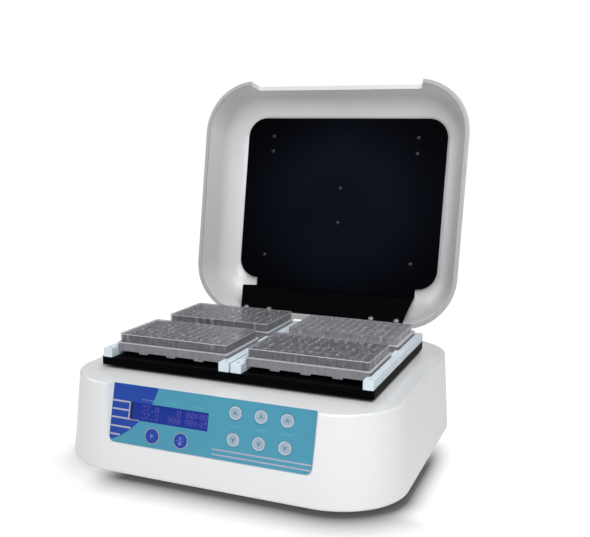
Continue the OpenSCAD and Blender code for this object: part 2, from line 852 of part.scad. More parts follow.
module eccentric_shaft() {
    low_z = 32;
    step_z = chassis_z + 1;
    web_z = hub_low_z - 2;
    color("silver") placed() {
        rod(motor_shaft_r, low_z, step_z);
        rod(shaft_r, step_z, web_z);
        translate([orbit_r, 0]) rod(pin_r, web_z, hub_low_z + 1 + ring_w);
    }
}

module counterweight() {
    z = [block_top + 1.5, hub_low_z - 3];
    collar_r = 11;
    weight_r = 30;
    color("dimgray") placed() difference() {
        union() {
            rod(collar_r, z[0], z[1]);
            intersection() {
                rod(weight_r, z[0], z[1]);
                block([-weight_r - cut, -2], [-26, 26], [z[0] - cut, z[1] + cut]);
            }
        }
        rod(shaft_r, z[0] - cut, z[1] + cut);
    }
}

module idler_crank(i) {
    p = mirrored(idler_place)[i];
    disc_r = 8;
    disc = [idler_block_top + 1, idler_block_top + 4.5];
    color("silver") placed() translate(p) {
        rod(idler_r, chassis_top + 1, disc[0]);
        rod(disc_r, disc[0], disc[1]);
        translate([orbit_r, 0]) rod(idler_pin_r, disc[1], platform_low_z + idler_ring_w);
    }
}

// Platform: drawn with its pins at the +X side of the orbit

// Middles of the five platform bearings: the hub and the four idler pins
hub_place = [orbit_r, 0];
pin_places = [for (p = mirrored(idler_place)) [p.x + orbit_r, p.y]];

module platform_slab() {
    pocket_top = platform_low_z + idler_ring_w + 0.5;
    color([0.1, 0.1, 0.11]) placed() difference() {
        translate([platform_mid.x, platform_mid.y, platform_low_z]) linear_extrude(platform_t)
            round_box(platform_half.x, platform_half.y, platform_corner_r);
        for (p = pin_places) translate(p) rod(pin_ring_r, platform_low_z - cut, pocket_top);
        for (p = rail_screw_places) translate(p)
            rod(rail_screw_r + fit, platform_z - rail_screw_bite - 1, platform_z + cut);
    }
}

module platform_hub() {
    bore_top = hub_low_z + ring_w + 1.2;
    color("gray") placed() translate(hub_place) difference() {
        union() {
            rod(hub_flange[0], platform_low_z - hub_flange[1], platform_low_z);
            rod(hub_r, hub_low_z, platform_low_z);
        }
        rod(hub_ring_r, hub_low_z - cut, bore_top);
    }
}

// Temperature sensor in a window of the mat, with its lead towards +X
sensor_x = [-5, 5];
sensor_y = [-69, -61];
sensor_lead_x = 14;

module heater_mat() {
    inset = 18;
    corner_r = 4;
    mat_t = 1.2;
    z = [platform_low_z - mat_t - cut, platform_low_z + cut];
    color("sienna") placed() difference() {
        translate([platform_mid.x, platform_mid.y, platform_low_z - mat_t]) linear_extrude(mat_t)
            round_box(platform_half.x - inset, platform_half.y - inset, corner_r);
        translate(hub_place) rod(hub_flange[0] + 2, z[0], z[1]);
        for (p = pin_places) translate(p) rod(pin_ring_r + 2.5, z[0], z[1]);
        block([sensor_x[0] - 3, sensor_lead_x + 1], [sensor_y[0] - 3, sensor_y[1] + 3], z);
    }
}

module platform_bearings() {
    low = 0.2;
    color("lightsteelblue") placed() {
        translate(hub_place) ring(hub_ring_r, pin_r + fit, hub_low_z + 1, hub_low_z + 1 + ring_w);
        for (p = pin_places) translate(p) ring(pin_ring_r, idler_pin_r + fit,
            platform_low_z + low, platform_low_z + low + idler_ring_w);
    }
}

module temperature_sensor() {
    body_t = 2.6;
    lead_r = 1;
    color("goldenrod") placed() {
        block(sensor_x, sensor_y, [platform_low_z - body_t, platform_low_z]);
        translate([0, (sensor_y[0] + sensor_y[1]) / 2, platform_low_z - body_t / 2])
            rotate([0, 90, 0]) rod(lead_r, sensor_x[1], sensor_lead_x);
    }
}

// Rail of the right-hand side: a wall beside the plates, a ledge under them and three stops
module rail(wall_x, ledge_x) {
    z = [platform_z, platform_z + rail_h];
    span_x = [min(wall_x[0], ledge_x[0]), max(wall_x[1], ledge_x[1])];
    difference() {
        union() {
            block(wall_x, rail_y, z);
            block(ledge_x, rail_y, [platform_z, platform_z + ledge_h]);
            for (y = [[rail_y[0], stop_front], [-stop_mid, stop_mid], [stop_back, rail_y[1]]])
                block(span_x, y, z);
        }
        for (p = rail_screw_places) translate(p) {
            rod(rail_screw_r + 0.15, platform_z - cut, z[1] + cut);
            rod(rail_head_r + 0.3, z[1] - sunk_rail_d, z[1] + cut);
        }
    }
}

// Outer rail with the small lug on its outer side
module outer_rail() {
    lug_y = [-16, 0];
    lug_t = 0.7;
    rail(outer_wall_x, outer_ledge_x);
    block([outer_wall_x[1], outer_wall_x[1] + lug_t], lug_y, [platform_z + 1, platform_z + rail_h]);
}

module rail_outer_left() {
    color("lightsteelblue") placed() mirror([1, 0, 0]) outer_rail();
}

module rail_outer_right() {
    color("lightsteelblue") placed() outer_rail();
}

module rail_inner_left() {
    color("lightsteelblue") placed() mirror([1, 0, 0]) rail(inner_wall_x, inner_ledge_x);
}

module rail_inner_right() {
    color("lightsteelblue") placed() rail(inner_wall_x, inner_ledge_x);
}

module rail_screws() {
    head_h = 1.6;
    seat = rail_h - sunk_rail_d;
    color("dimgray") placed() for (p = rail_screw_places) translate([p.x, p.y, platform_z + seat])
        dome_screw(rail_head_r, head_h, rail_screw_r, seat + rail_screw_bite);
}

// Microplates

// One plate: a foot rim with a flange and ribs, an upper wall, and wells hung from the top
module microplate() {
    foot = plate_foot;
    wall_t = 1.2;
    top_t = 1.2;
    flange_t = 1.4;
    inset = 0.9;
    corner_r = 3;
    rib_half = 1;
    pad_h = 1.5;
    gap_half = [11, 7];
    upper = [plate_cover.x - 3, plate_cover.y - 3];
    upper_r = 2.5;
    well_r = well_size[0] / 2;
    well_low = plate_h - well_size[1];
    well_wall = 0.7;
    well_floor = 1;
    difference() {
        union() {
            translate([0, 0, foot.z - flange_t]) linear_extrude(flange_t)
                round_box(foot.x / 2, foot.y / 2, corner_r);
            linear_extrude(foot.z) round_box(foot.x / 2 - inset, foot.y / 2 - inset, corner_r);
            linear_extrude(pad_h) round_box(foot.x / 2, foot.y / 2, corner_r);
            for (i = [-1, 0, 1]) {
                block([i * foot.x / 4 - rib_half, i * foot.x / 4 + rib_half],
                    [-foot.y / 2, foot.y / 2], [0, foot.z]);
                block([-foot.x / 2, foot.x / 2],
                    [i * foot.y / 4 - rib_half, i * foot.y / 4 + rib_half], [0, foot.z]);
            }
            linear_extrude(plate_h) round_box(upper.x / 2, upper.y / 2, upper_r);
        }
        difference() {
            union() {
                translate([0, 0, -cut]) linear_extrude(foot.z - flange_t + cut) round_box(
                    foot.x / 2 - inset - wall_t, foot.y / 2 - inset - wall_t, corner_r - 1);
                translate([0, 0, -cut]) linear_extrude(plate_h - top_t + cut)
                    round_box(upper.x / 2 - wall_t, upper.y / 2 - wall_t, upper_r - 1);
            }
            for (p = well_places()) translate(p) rod(well_r + well_wall, well_low - well_floor, plate_h);
        }
        for (p = well_places()) translate(p) rod(well_r, well_low, plate_h + cut);
        for (i = [-1.5:1:1.5]) {
            block([i * foot.x / 4 - gap_half.x, i * foot.x / 4 + gap_half.x],
                [-foot.y, foot.y], [-cut, pad_h]);
            block([-foot.x, foot.x],
                [i * foot.y / 4 - gap_half.y, i * foot.y / 4 + gap_half.y], [-cut, pad_h]);
        }
    }
}

function well_places() = [
    for (i = [0:well_grid[0] - 1], j = [0:well_grid[1] - 1])
        [(i - (well_grid[0] - 1) / 2) * well_pitch, (j - (well_grid[1] - 1) / 2) * well_pitch]
];

module microplate_cover() {
    top_t = 1.2;
    wall_t = 1;
    corner_r = 3;
    difference() {
        linear_extrude(plate_cover.z) round_box(plate_cover.x / 2, plate_cover.y / 2, corner_r);
        translate([0, 0, -cut]) linear_extrude(plate_cover.z - top_t + cut)
            round_box(plate_cover.x / 2 - wall_t, plate_cover.y / 2 - wall_t, corner_r - wall_t);
    }
}

module at_plate(sx, sy, z = 0) {
    placed() translate([sx * plate_place.x, sy * plate_place.y, seat_z + z]) children();
}

module plate(sx, sy) {
    color([0.85, 0.88, 0.9]) at_plate(sx, sy) microplate();
}

module cover(sx, sy) {
    lift = 0.3;
    color([0.9, 0.93, 0.95]) at_plate(sx, sy, plate_foot.z + lift) microplate_cover();
}

// Lid

// Rounded edge of the lid wall: on its outer face with side = 1, on its inner face with side = -1
function lid_edge(r, side) =
    let (x = r - lid_edge_r * tan(lid_draft) - side * lid_edge_r / cos(lid_draft))
    arc([x, lid_edge_r], lid_edge_r, -90, side > 0 ? lid_draft : lid_draft - 180, 4);

module lid_outline(r, arc_r, h, side) {
    c = [r - (arc_r + (h - arc_r) * sin(lid_draft)) / cos(lid_draft), h - arc_r];
    shoulder = c + arc_r * [cos(lid_draft), sin(lid_draft)];
    intersection() {
        union() {
            polygon(concat([[0, 0]], lid_edge(r, side), [shoulder, [c.x, h], [0, h]]));
            translate(c) circle(arc_r, $fn = 96);
        }
        square([r, h]);
    }
}

module lid_wall_outline() {
    difference() {
        lid_outline(rim_corner_r, lid_arc_r, lid_h, 1);
        lid_outline(rim_corner_r - lid_wall, lid_arc_r - lid_top_t, lid_h - lid_top_t, -1);
    }
}

module lid_shell() {
    boss_r = 4.5;
    boss_hole_r = 1.3;
    room_half_x = (tab_x[1] - tab_x[0]) / 2 + 1.5;
    room_h = 14;
    color("white") on_lid() difference() {
        union() {
            translate([0, -lid_mid_u, 0]) {
                swept(corner_x, lid_corner_y) lid_wall_outline();
                block([-corner_x, corner_x], [-lid_corner_y, lid_corner_y], [lid_h - lid_top_t, lid_h]);
            }
            for (p = liner_screws) translate([p.x, -p.y])
                rod(boss_r, liner_w + liner_t + 0.1, lid_h - lid_top_t + cut);
        }
        finger_notch();
        for (sx = [-1, 1]) translate([sx * (tab_x[0] + tab_x[1]) / 2, 0])
            block([-room_half_x, room_half_x], [-lid_back_u - room_h, 0], [-cut, room_h]);
        for (p = liner_screws) translate([p.x, -p.y]) rod(boss_hole_r, liner_w, lid_h - 2);
    }
}

module finger_notch() {
    r = 5;
    behind = 25;
    through = 40;
    floor_x = notch_half_x[1];
    translate([0, behind - lid_front_u, 0]) rotate([90, 0, 0]) linear_extrude(through) {
        polygon([
            [-notch_half_x[0], -cut], [notch_half_x[0], -cut],
            [floor_x, notch_h - r], [-floor_x, notch_h - r],
        ]);
        translate([r - floor_x, -cut]) square([2 * (floor_x - r), notch_h + cut]);
        for (sx = [-1, 1]) translate([sx * (floor_x - r), notch_h - r]) circle(r);
    }
}

module lid_inner_plate() {
    mid = (liner_u[0] + liner_u[1]) / 2;
    hole_r = 1.7;
    color([0.1, 0.1, 0.12]) on_lid() translate([0, 0, liner_w]) linear_extrude(liner_t) difference() {
        union() {
            translate([0, -mid])
                round_box(liner_half_x, (liner_u[1] - liner_u[0]) / 2, liner_corner_r);
            translate([-neck_half_x, -liner_u[0] - cut])
                square([2 * neck_half_x, liner_u[0] - shelf_u + cut]);
        }
        for (p = liner_screws) translate([p.x, -p.y]) circle(hole_r);
    }
}

module lid_plate_screws() {
    color("silver") on_lid() for (p = liner_screws) translate([p.x, -p.y, liner_w])
        mirror([0, 0, 1]) dome_screw(2.4, 1.2, 1.25, 6);
}

module lid_heater_mat() {
    mat_t = 1;
    color("sienna") on_lid() difference() {
        translate([0, -lid_pad_u, liner_w + liner_t]) linear_extrude(mat_t)
            round_box(lid_mat_half.x, lid_mat_half.y, pad_corner_r);
        for (p = liner_screws) translate([p.x, -p.y]) rod(pad_hole_r, liner_w, lid_h);
    }
}

module lid_insulation() {
    low_w = liner_w + liner_t + 1;
    top_w = lid_h - lid_top_t - 0.1;
    color("khaki") on_lid() difference() {
        translate([0, -lid_pad_u, low_w]) linear_extrude(top_w - low_w)
            round_box(lid_foam_half.x, lid_foam_half.y, pad_corner_r);
        for (p = liner_screws) translate([p.x, -p.y]) rod(pad_hole_r, liner_w, lid_h);
    }
}

module on_leaf() {
    on_lid() rotate([180 - leaf_slope, 0, 0]) children();
}

// Screw tab of the right-hand side of the leaf, with one round corner
module screw_tab() {
    tab_r = 4;
    translate([tab_x[0], leaf_low_r])
        square([tab_x[1] - tab_x[0] - tab_r, leaf_root_r - leaf_low_r + cut]);
    translate([tab_x[1] - tab_r, leaf_low_r + tab_r]) circle(tab_r);
    translate([tab_x[1] - 2 * tab_r, leaf_low_r + tab_r]) square([2 * tab_r, 2]);
}

// Outline of the sloping leaf, with its two screw tabs at the hinges
module leaf_outline() {
    neck_r = 24;
    polygon([
        [-bracket_half[0], leaf_top_r], [-bracket_half[1], neck_r], [-bracket_half[1], leaf_root_r],
        [bracket_half[1], leaf_root_r], [bracket_half[1], neck_r], [bracket_half[0], leaf_top_r],
    ]);
    screw_tab();
    mirror([1, 0]) screw_tab();
}

module lid_bracket() {
    hole_r = 1.9;
    lift = 0.05;
    color([0.1, 0.1, 0.11]) {
        on_leaf() translate([0, 0, lift]) difference() {
            linear_extrude(leaf_t) leaf_outline();
            for (sx = [-1, 1], x = bracket_screw_x)
                translate([sx * x, bracket_screw_r]) rod(hole_r, -cut, leaf_t + cut);
        }
        on_lid() translate([0, -shelf_u, 0]) rotate([90, 0, 0]) linear_extrude(leaf_t) polygon([
            [-bracket_half[0], shelf_w - 1], [bracket_half[0], shelf_w - 1],
            [neck_half_x, liner_w - 0.1], [-neck_half_x, liner_w - 0.1],
        ]);
    }
}

module bracket_screws() {
    head = [3.6, 2.4];
    shank = [1.7, 4];
    color("silver") on_leaf() for (sx = [-1, 1], x = bracket_screw_x)
        translate([sx * x, bracket_screw_r, leaf_t + 0.05])
            dome_screw(head[0], head[1], shank[0], shank[1]);
}

module hinge_leaves() {
    leaf_reach = 34;
    half = knuckle_half - 0.4;
    screw_hole_r = 1.75;
    color("silver") for (sx = [-1, 1]) on_leaf() difference() {
        translate([sx * hinge_x, 0, 0]) {
            block([-hinge_half, hinge_half], [barrel_r + 1.2, leaf_reach], [-base_leaf[1], 0]);
            block([-half, half], [0, barrel_r + 2], [-base_leaf[1], 0]);
            rotate([0, 90, 0]) rod(barrel_r, -half, half);
        }
        translate([sx * hinge_x, 0, 0]) rotate([0, 90, 0]) rod(hinge_pin_r + fit, -half - cut, half + cut);
        for (x = bracket_screw_x) translate([sx * x, bracket_screw_r])
            rod(screw_hole_r, -base_leaf[1] - cut, cut);
    }
}

base_housing();
bottom_plate();
rubber_feet();
bottom_screws();
panel_overlay();
lcd_window();
lcd_module();
control_board();
power_supply();
drive_chassis();
chassis_screws();
drive_motor();
bearing_blocks();
shaft_bearings();
hinge_bases();
hinge_pins();
hinge_screws();
power_inlet();
fuse_holder();
switch_bezel();
power_rocker();
start_key();
mode_key();
up_key(0);  // up_key_1
up_key(1);  // up_key_2
up_key(2);  // up_key_3
down_key(0);  // down_key_1
down_key(1);  // down_key_2
down_key(2);  // down_key_3
eccentric_shaft();
counterweight();
idler_crank(0);  // idler_crank_1
idler_crank(1);  // idler_crank_2
idler_crank(2);  // idler_crank_3
idler_crank(3);  // idler_crank_4
platform_slab();
platform_hub();
heater_mat();
platform_bearings();
rail_outer_left();
rail_outer_right();
rail_inner_left();
rail_inner_right();
rail_screws();
temperature_sensor();
plate(-1, -1);  // plate_front_left
plate(1, -1);  // plate_front_right
plate(-1, 1);  // plate_rear_left
plate(1, 1);  // plate_rear_right
cover(-1, -1);  // cover_front_left
cover(1, -1);  // cover_front_right
cover(-1, 1);  // cover_rear_left
lid_shell();
lid_inner_plate();
lid_plate_screws();
lid_heater_mat();
lid_insulation();
lid_bracket();
bracket_screws();
hinge_leaves();
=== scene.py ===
"""Looks of a microplate incubator: finishes, panel print, display figures, floor, light and camera.

Lengths are named in millimetres and turned into metres where a mesh or a node takes them. Places on
the front panel are given as x across, d down the slope from the panel's top edge, and out of the panel.
"""

import json
import math

import bpy
import numpy as np
from mathutils import Matrix, Vector


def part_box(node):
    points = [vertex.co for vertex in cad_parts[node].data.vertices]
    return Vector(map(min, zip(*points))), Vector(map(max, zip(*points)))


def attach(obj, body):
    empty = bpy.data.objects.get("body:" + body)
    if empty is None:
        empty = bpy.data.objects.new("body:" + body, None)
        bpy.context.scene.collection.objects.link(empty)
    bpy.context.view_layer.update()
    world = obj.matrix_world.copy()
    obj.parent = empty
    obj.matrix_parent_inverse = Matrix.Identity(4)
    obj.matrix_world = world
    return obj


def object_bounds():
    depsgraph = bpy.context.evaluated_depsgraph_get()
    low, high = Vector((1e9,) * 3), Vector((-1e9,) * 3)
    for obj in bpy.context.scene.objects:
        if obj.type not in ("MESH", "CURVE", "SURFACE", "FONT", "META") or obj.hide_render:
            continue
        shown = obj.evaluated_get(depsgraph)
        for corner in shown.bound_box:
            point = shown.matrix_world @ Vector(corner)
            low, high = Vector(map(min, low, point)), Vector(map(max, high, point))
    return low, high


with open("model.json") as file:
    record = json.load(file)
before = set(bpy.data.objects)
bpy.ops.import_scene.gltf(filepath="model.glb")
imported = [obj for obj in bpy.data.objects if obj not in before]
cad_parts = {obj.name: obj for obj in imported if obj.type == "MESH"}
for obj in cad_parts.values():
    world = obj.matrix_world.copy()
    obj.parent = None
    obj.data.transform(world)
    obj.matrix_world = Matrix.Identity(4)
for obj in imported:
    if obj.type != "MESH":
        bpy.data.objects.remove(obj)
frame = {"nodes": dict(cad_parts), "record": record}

cad_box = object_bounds()

MM = 0.001

# Camera: place in millimetres, turns in degrees, focal length and optical axis in photograph pixels
PHOTO_SIZE = (590, 537)
CAMERA_PLACE = (328.4, -887.2, 330.0)
CAMERA_YAW = 23.218
CAMERA_PITCH = 10.721
CAMERA_ROLL = 0.695
CAMERA_FOCAL = 844.0
CAMERA_AXIS = (244.7, 299.6)
SENSOR_WIDTH = 36

# Light: each lamp's level is the share of plain white that a surface facing it gets
LAMPS = {
    "front_softbox": {"azimuth": 21, "elevation": 28, "distance": 1.6, "size": 0.8, "level": 0.47},
    "left_softbox": {"azimuth": -80, "elevation": 30, "distance": 2.4, "size": 1.4, "level": 0.24},
    "back_softbox": {"azimuth": 180, "elevation": 60, "distance": 2.0, "size": 1.2, "level": 0.35},
    "top_softbox": {"azimuth": 50, "elevation": 60, "distance": 1.8, "size": 1.0, "level": 0.41},
}

# Even light from the surroundings, and how bright they are in mirrors
AMBIENT = 0.15
MIRRORED = 0.25

# Floor: half its side, and its white for light and for the camera beside what it emits
FLOOR_HALF = 6000
FLOOR_WHITE = 0.9
FLOOR_SHADE = 0.08

# Corner radius of the housing's foot
HOUSING_CORNER_R = 73.5

# Painted shadow on the floor: where it starts and ends beyond the foot at the side and in front, and its
# depth
SHADOW_SIDE = (0.4, 28.7)
SHADOW_FRONT = (-3.5, 61.5)
SHADOW_DEPTH = 0.94

# Where the shadow grows from its side to its front reach, from nothing at the back, and from the left
SHADOW_FRONT_Y = (-165, -195)
SHADOW_BACK_Y = (50, -60)
SHADOW_LEFT_X = (-130, -88)
SHADOW_LEFT = 0.3

# Front panel: its lean, its sheet and what lies on it
PANEL_LEAN = math.radians(12.2)
SHEET_T = 0.6
SHEET_TOP_D = 0.4
SHEET_HALF = 105.1
SHEET_LOW_D = 58.3
SHEET_CORNER_R = 6
INK_T = 0.04
WINDOW = (-83.7, -0.1, 17, 34.3)
WINDOW_RISE = 0.08
KEY_RISE = 0.93
ROUND_KEYS = {"start_button": (-57.8, 47), "mode_button": (-26.9, 47)}
ROUND_KEY_R = 6.7
ARROW_KEY_X = (27, 52.7, 78.3)
ARROW_KEY_D = {"up": 13.1, "down": 37.9}
ARROW_KEY_R = 6.1


def make_camera():
    """Camera that looks along yaw and pitch, rolled about its axis and shifted as the framing needs."""
    yaw = math.radians(CAMERA_YAW)
    pitch = math.radians(CAMERA_PITCH)
    roll = math.radians(CAMERA_ROLL)
    forward = Vector((
        -math.sin(yaw) * math.cos(pitch),
        math.cos(yaw) * math.cos(pitch),
        -math.sin(pitch),
    ))
    level = Vector((math.cos(yaw), math.sin(yaw), 0))
    upright = level.cross(forward)
    right = level * math.cos(roll) + upright * math.sin(roll)
    up = upright * math.cos(roll) - level * math.sin(roll)
    data = bpy.data.cameras.new("camera")
    data.sensor_width = SENSOR_WIDTH
    data.lens = CAMERA_FOCAL * SENSOR_WIDTH / PHOTO_SIZE[0]
    data.shift_x = (PHOTO_SIZE[0] / 2 - CAMERA_AXIS[0]) / PHOTO_SIZE[0]
    data.shift_y = (CAMERA_AXIS[1] - PHOTO_SIZE[1] / 2) / PHOTO_SIZE[0]
    camera = bpy.data.objects.new("camera", data)
    bpy.context.scene.collection.objects.link(camera)
    turn = Matrix((right, up, -forward)).transposed().to_4x4()
    camera.matrix_world = Matrix.Translation(Vector(CAMERA_PLACE) * MM) @ turn
    bpy.context.scene.camera = camera


# Node tools


def add_node(tree, kind, inputs=None, **settings):
    """New node with its settings; inputs gives sockets their values or the sockets that feed them."""
    node = tree.nodes.new(kind)
    for key, value in settings.items():
        setattr(node, key, value)
    for key, value in (inputs or {}).items():
        if isinstance(value, bpy.types.NodeSocket):
            tree.links.new(value, node.inputs[key])
        else:
            node.inputs[key].default_value = value
    return node


def feed(tree, node, sources):
    """Links each source into the node's input of that name."""
    for key, source in sources.items():
        tree.links.new(source, node.inputs[key])


def set_values(node, values):
    """Puts constant values on the node's own sockets; a colour of three numbers gets full cover."""
    for key, value in values.items():
        node.inputs[key].default_value = (*value, 1) if isinstance(value, tuple) else value


def math_node(tree, operation, *values, clamp=False):
    """Result of one arithmetic step on values or sockets."""
    inputs = dict(enumerate(values))
    return add_node(tree, "ShaderNodeMath", inputs, operation=operation, use_clamp=clamp).outputs[0]


def vector_node(tree, operation, *values):
    """Result of one step on vectors: a number for a length or a dot product, and else a vector."""
    node = add_node(tree, "ShaderNodeVectorMath", dict(enumerate(values)), operation=operation)
    return node.outputs["Value" if operation in ("LENGTH", "DOT_PRODUCT") else "Vector"]


def mix_colors(tree, factor, first, second):
    """Colour between first and second by factor: the mix node's sockets 6 and 7, and its output 2."""
    node = add_node(tree, "ShaderNodeMix", data_type="RGBA")
    for index, value in ((0, factor), (6, first), (7, second)):
        if isinstance(value, bpy.types.NodeSocket):
            tree.links.new(value, node.inputs[index])
        else:
            node.inputs[index].default_value = value if index == 0 else (*value, 1)
    return node.outputs[2]


def object_place(tree):
    """Place of a point on its object, which is its place in the frame at rest, in metres."""
    return add_node(tree, "ShaderNodeTexCoord").outputs["Object"]


def split(tree, place):
    """The x, y and z of a place."""
    return add_node(tree, "ShaderNodeSeparateXYZ", {0: place}).outputs


def noise_at(tree, place, scale, detail=3):
    """Value of a noise at a place."""
    inputs = {"Vector": place, "Scale": scale, "Detail": detail}
    return add_node(tree, "ShaderNodeTexNoise", inputs).outputs[0]


def in_metres(lengths):
    """Lengths in metres instead of millimetres."""
    return [length * MM for length in lengths]


def span(tree, value, edges):
    """Straight run of a value from 0 at the first edge to 1 at the second."""
    inputs = {"Value": value, "From Min": edges[0], "From Max": edges[1]}
    return add_node(tree, "ShaderNodeMapRange", inputs).outputs[0]


def ramp(tree, value, edges, low=0.0, high=1.0):
    """Smooth step of a length from low at the first edge, in millimetres, to high at the second."""
    start, end = in_metres(edges)
    inputs = {"Value": value, "From Min": start, "From Max": end, "To Min": low, "To Max": high}
    return add_node(tree, "ShaderNodeMapRange", inputs, interpolation_type="SMOOTHSTEP").outputs[0]


# Shared patterns

FLOAT = "NodeSocketFloat"
COLOR = "NodeSocketColor"
PATTERN_OUTPUTS = {"Color": COLOR, "Roughness": FLOAT, "Height": FLOAT}
PATCH_CONTRAST = (2.2, -0.6)
BRUSH_STRETCH = (0.04, 1, 1)


def new_group(name, inputs, outputs):
    """Node group with named inputs and outputs: its tree, its input sockets and its output node."""
    tree = bpy.data.node_groups.new(name, "ShaderNodeTree")
    for socket_name, (kind, value) in inputs.items():
        socket = tree.interface.new_socket(socket_name, in_out="INPUT", socket_type=kind)
        socket.default_value = value
    for socket_name, kind in outputs.items():
        tree.interface.new_socket(socket_name, in_out="OUTPUT", socket_type=kind)
    given = tree.nodes.new("NodeGroupInput")
    result = tree.nodes.new("NodeGroupOutput")
    return tree, given.outputs, result


def uneven_roughness(tree, given, noise):
    """Roughness plus its spread times what the noise is over or under its middle."""
    centred = math_node(tree, "SUBTRACT", noise, 0.5)
    drift = math_node(tree, "MULTIPLY", centred, given["Roughness Spread"])
    return math_node(tree, "ADD", drift, given["Roughness"], clamp=True)


def make_speckle():
    """Shared speckle: a broad noise drifts the colour, and a fine noise gives roughness and relief."""
    tree, given, result = new_group(
        "speckle",
        {
            "Color": (COLOR, (0.8, 0.8, 0.8, 1)),
            "Second Color": (COLOR, (0.7, 0.7, 0.7, 1)),
            "Patch Scale": (FLOAT, 20),
            "Grain Scale": (FLOAT, 600),
            "Roughness": (FLOAT, 0.3),
            "Roughness Spread": (FLOAT, 0.05),
        },
        PATTERN_OUTPUTS,
    )
    place = object_place(tree)
    patch = noise_at(tree, place, given["Patch Scale"])
    grain = noise_at(tree, place, given["Grain Scale"], detail=2)
    share = math_node(tree, "MULTIPLY_ADD", patch, *PATCH_CONTRAST, clamp=True)
    feed(tree, result, {
        "Color": mix_colors(tree, share, given["Color"], given["Second Color"]),
        "Roughness": uneven_roughness(tree, given, grain),
        "Height": grain,
    })
    return tree


def make_brushing():
    """Shared brushing: a noise drawn out along x, so that colour, roughness and relief run in lines."""
    tree, given, result = new_group(
        "brushing",
        {
            "Color": (COLOR, (0.7, 0.7, 0.7, 1)),
            "Second Color": (COLOR, (0.5, 0.5, 0.5, 1)),
            "Line Scale": (FLOAT, 900),
            "Roughness": (FLOAT, 0.3),
            "Roughness Spread": (FLOAT, 0.2),
        },
        PATTERN_OUTPUTS,
    )
    inputs = {"Vector": object_place(tree), "Scale": BRUSH_STRETCH}
    drawn_out = add_node(tree, "ShaderNodeMapping", inputs).outputs[0]
    lines = noise_at(tree, drawn_out, given["Line Scale"])
    feed(tree, result, {
        "Color": mix_colors(tree, lines, given["Color"], given["Second Color"]),
        "Roughness": uneven_roughness(tree, given, lines),
        "Height": lines,
    })
    return tree


SPECKLE = make_speckle()
BRUSHING = make_brushing()

# Finishes


def new_material(name):
    """Material with a Principled shader on its output; returns material, tree and shader."""
    material = bpy.data.materials.new(name)
    material.use_nodes = True
    tree = material.node_tree
    tree.nodes.clear()
    shader = tree.nodes.new("ShaderNodeBsdfPrincipled")
    output = tree.nodes.new("ShaderNodeOutputMaterial")
    tree.links.new(shader.outputs[0], output.inputs["Surface"])
    return material, tree, shader


def patterned(name, group, values, relief, shader_values):
    """Material fed by one shared group: its colour, roughness and relief drive the shader."""
    material, tree, shader = new_material(name)
    pattern = add_node(tree, "ShaderNodeGroup", node_tree=group)
    set_values(pattern, values)
    bump_inputs = {"Distance": relief * MM, "Height": pattern.outputs["Height"]}
    feed(tree, shader, {
        "Base Color": pattern.outputs["Color"],
        "Roughness": pattern.outputs["Roughness"],
        "Normal": add_node(tree, "ShaderNodeBump", bump_inputs).outputs[0],
    })
    set_values(shader, shader_values)
    return material


def moulded(name, color, second, roughness, patch=20, grain=600, relief=0.01, **shader_values):
    """Paint, plastic or rubber: a speckled surface without metal."""
    values = {
        "Color": color,
        "Second Color": second,
        "Patch Scale": patch,
        "Grain Scale": grain,
        "Roughness": roughness,
        "Roughness Spread": 0.08,
    }
    return patterned(name, SPECKLE, values, relief, shader_values)


def printed(name, color, second, roughness=0.4, patch=60):
    """Printed ink: a very fine speckle with hardly any relief."""
    return moulded(name, color, second, roughness, patch=patch, grain=1500, relief=0.003)


def brushed(name, color, second, roughness, lines=900, relief=0.005):
    """Bare metal with brushing lines."""
    values = {
        "Color": color,
        "Second Color": second,
        "Line Scale": lines,
        "Roughness": roughness,
    }
    return patterned(name, BRUSHING, values, relief, {"Metallic": 1.0})


# White lacquer of the housing and the lid
WHITE = ((0.80, 0.81, 0.82), (0.79, 0.80, 0.81))
WHITE_GLOSS = {"Coat Weight": 0.3, "Coat Roughness": 0.1}

# Lid: the way its rim faces while it stands open, how deep the rim band is, and the painted shade on that
# band
LID_OPENING = math.radians(98.36)
RIM_FACING = (0, -math.sin(LID_OPENING), -math.cos(LID_OPENING))
RIM_DEPTH = 1.6
RIM_PAINTED_SHADE = (0.47, 0.475, 0.48)

# Inner plate of the lid: colours of its middle, with a painted blue sheen, and of its edge, and where one
# fades into the other
LINER_SHEEN_MIDDLE = ((0.003, 0.0045, 0.0095), (0.005, 0.0065, 0.0125))
LINER_EDGE = (0.0006, 0.0008, 0.0016)
LINER_FADE = (55, 165)

# Black sheets shine very little
BLACK_SHINE = {"Specular IOR Level": 0.025}

# Microplates and covers: dark and light tint over the flange for covers and for plates, and under it
MILKY_COVER = ((0.10, 0.095, 0.11), (0.285, 0.28, 0.31))
MILKY_WELLS = ((0.30, 0.29, 0.32), (0.42, 0.41, 0.44))
MILKY_UNDER = ((0.38, 0.37, 0.41), (0.46, 0.45, 0.49))
FLANGE_Z = 117.8

# Painted light and shade of wells seen through the walls: scale and stretch of their pattern, where it
# turns light, and where its painted glints start
STREAK_SCALE = 330
STREAK_STRETCH = (1, 1, 0.25)
STREAK_SPAN = (0.36, 0.64)
GLINT_SPAN = (0.63, 0.70)
WELL_PITCH = 9
WELL_SHARE = 0.05

# Cover of the clear skin: seen face on, how fast it grows towards the edges, and on the rims with painted
# highlights
COVER_ALPHA = 0.25
PLATE_ALPHA = 0.66
EDGE_ON_POWER = 4.0
# Colour of the painted glints and rim highlights
PAINTED_HIGHLIGHT_COLOR = (0.66, 0.66, 0.69)
RIM_ALPHA = 0.9
RIM_HEIGHTS = ((117.9, 118.6), (126.8, 127.5))
CLEAR_ROUGHNESS = {"Grain Scale": 400, "Roughness": 0.22, "Roughness Spread": 0.1}
CLEAR_SHINE = {"IOR": 1.5, "Specular IOR Level": 0.3}


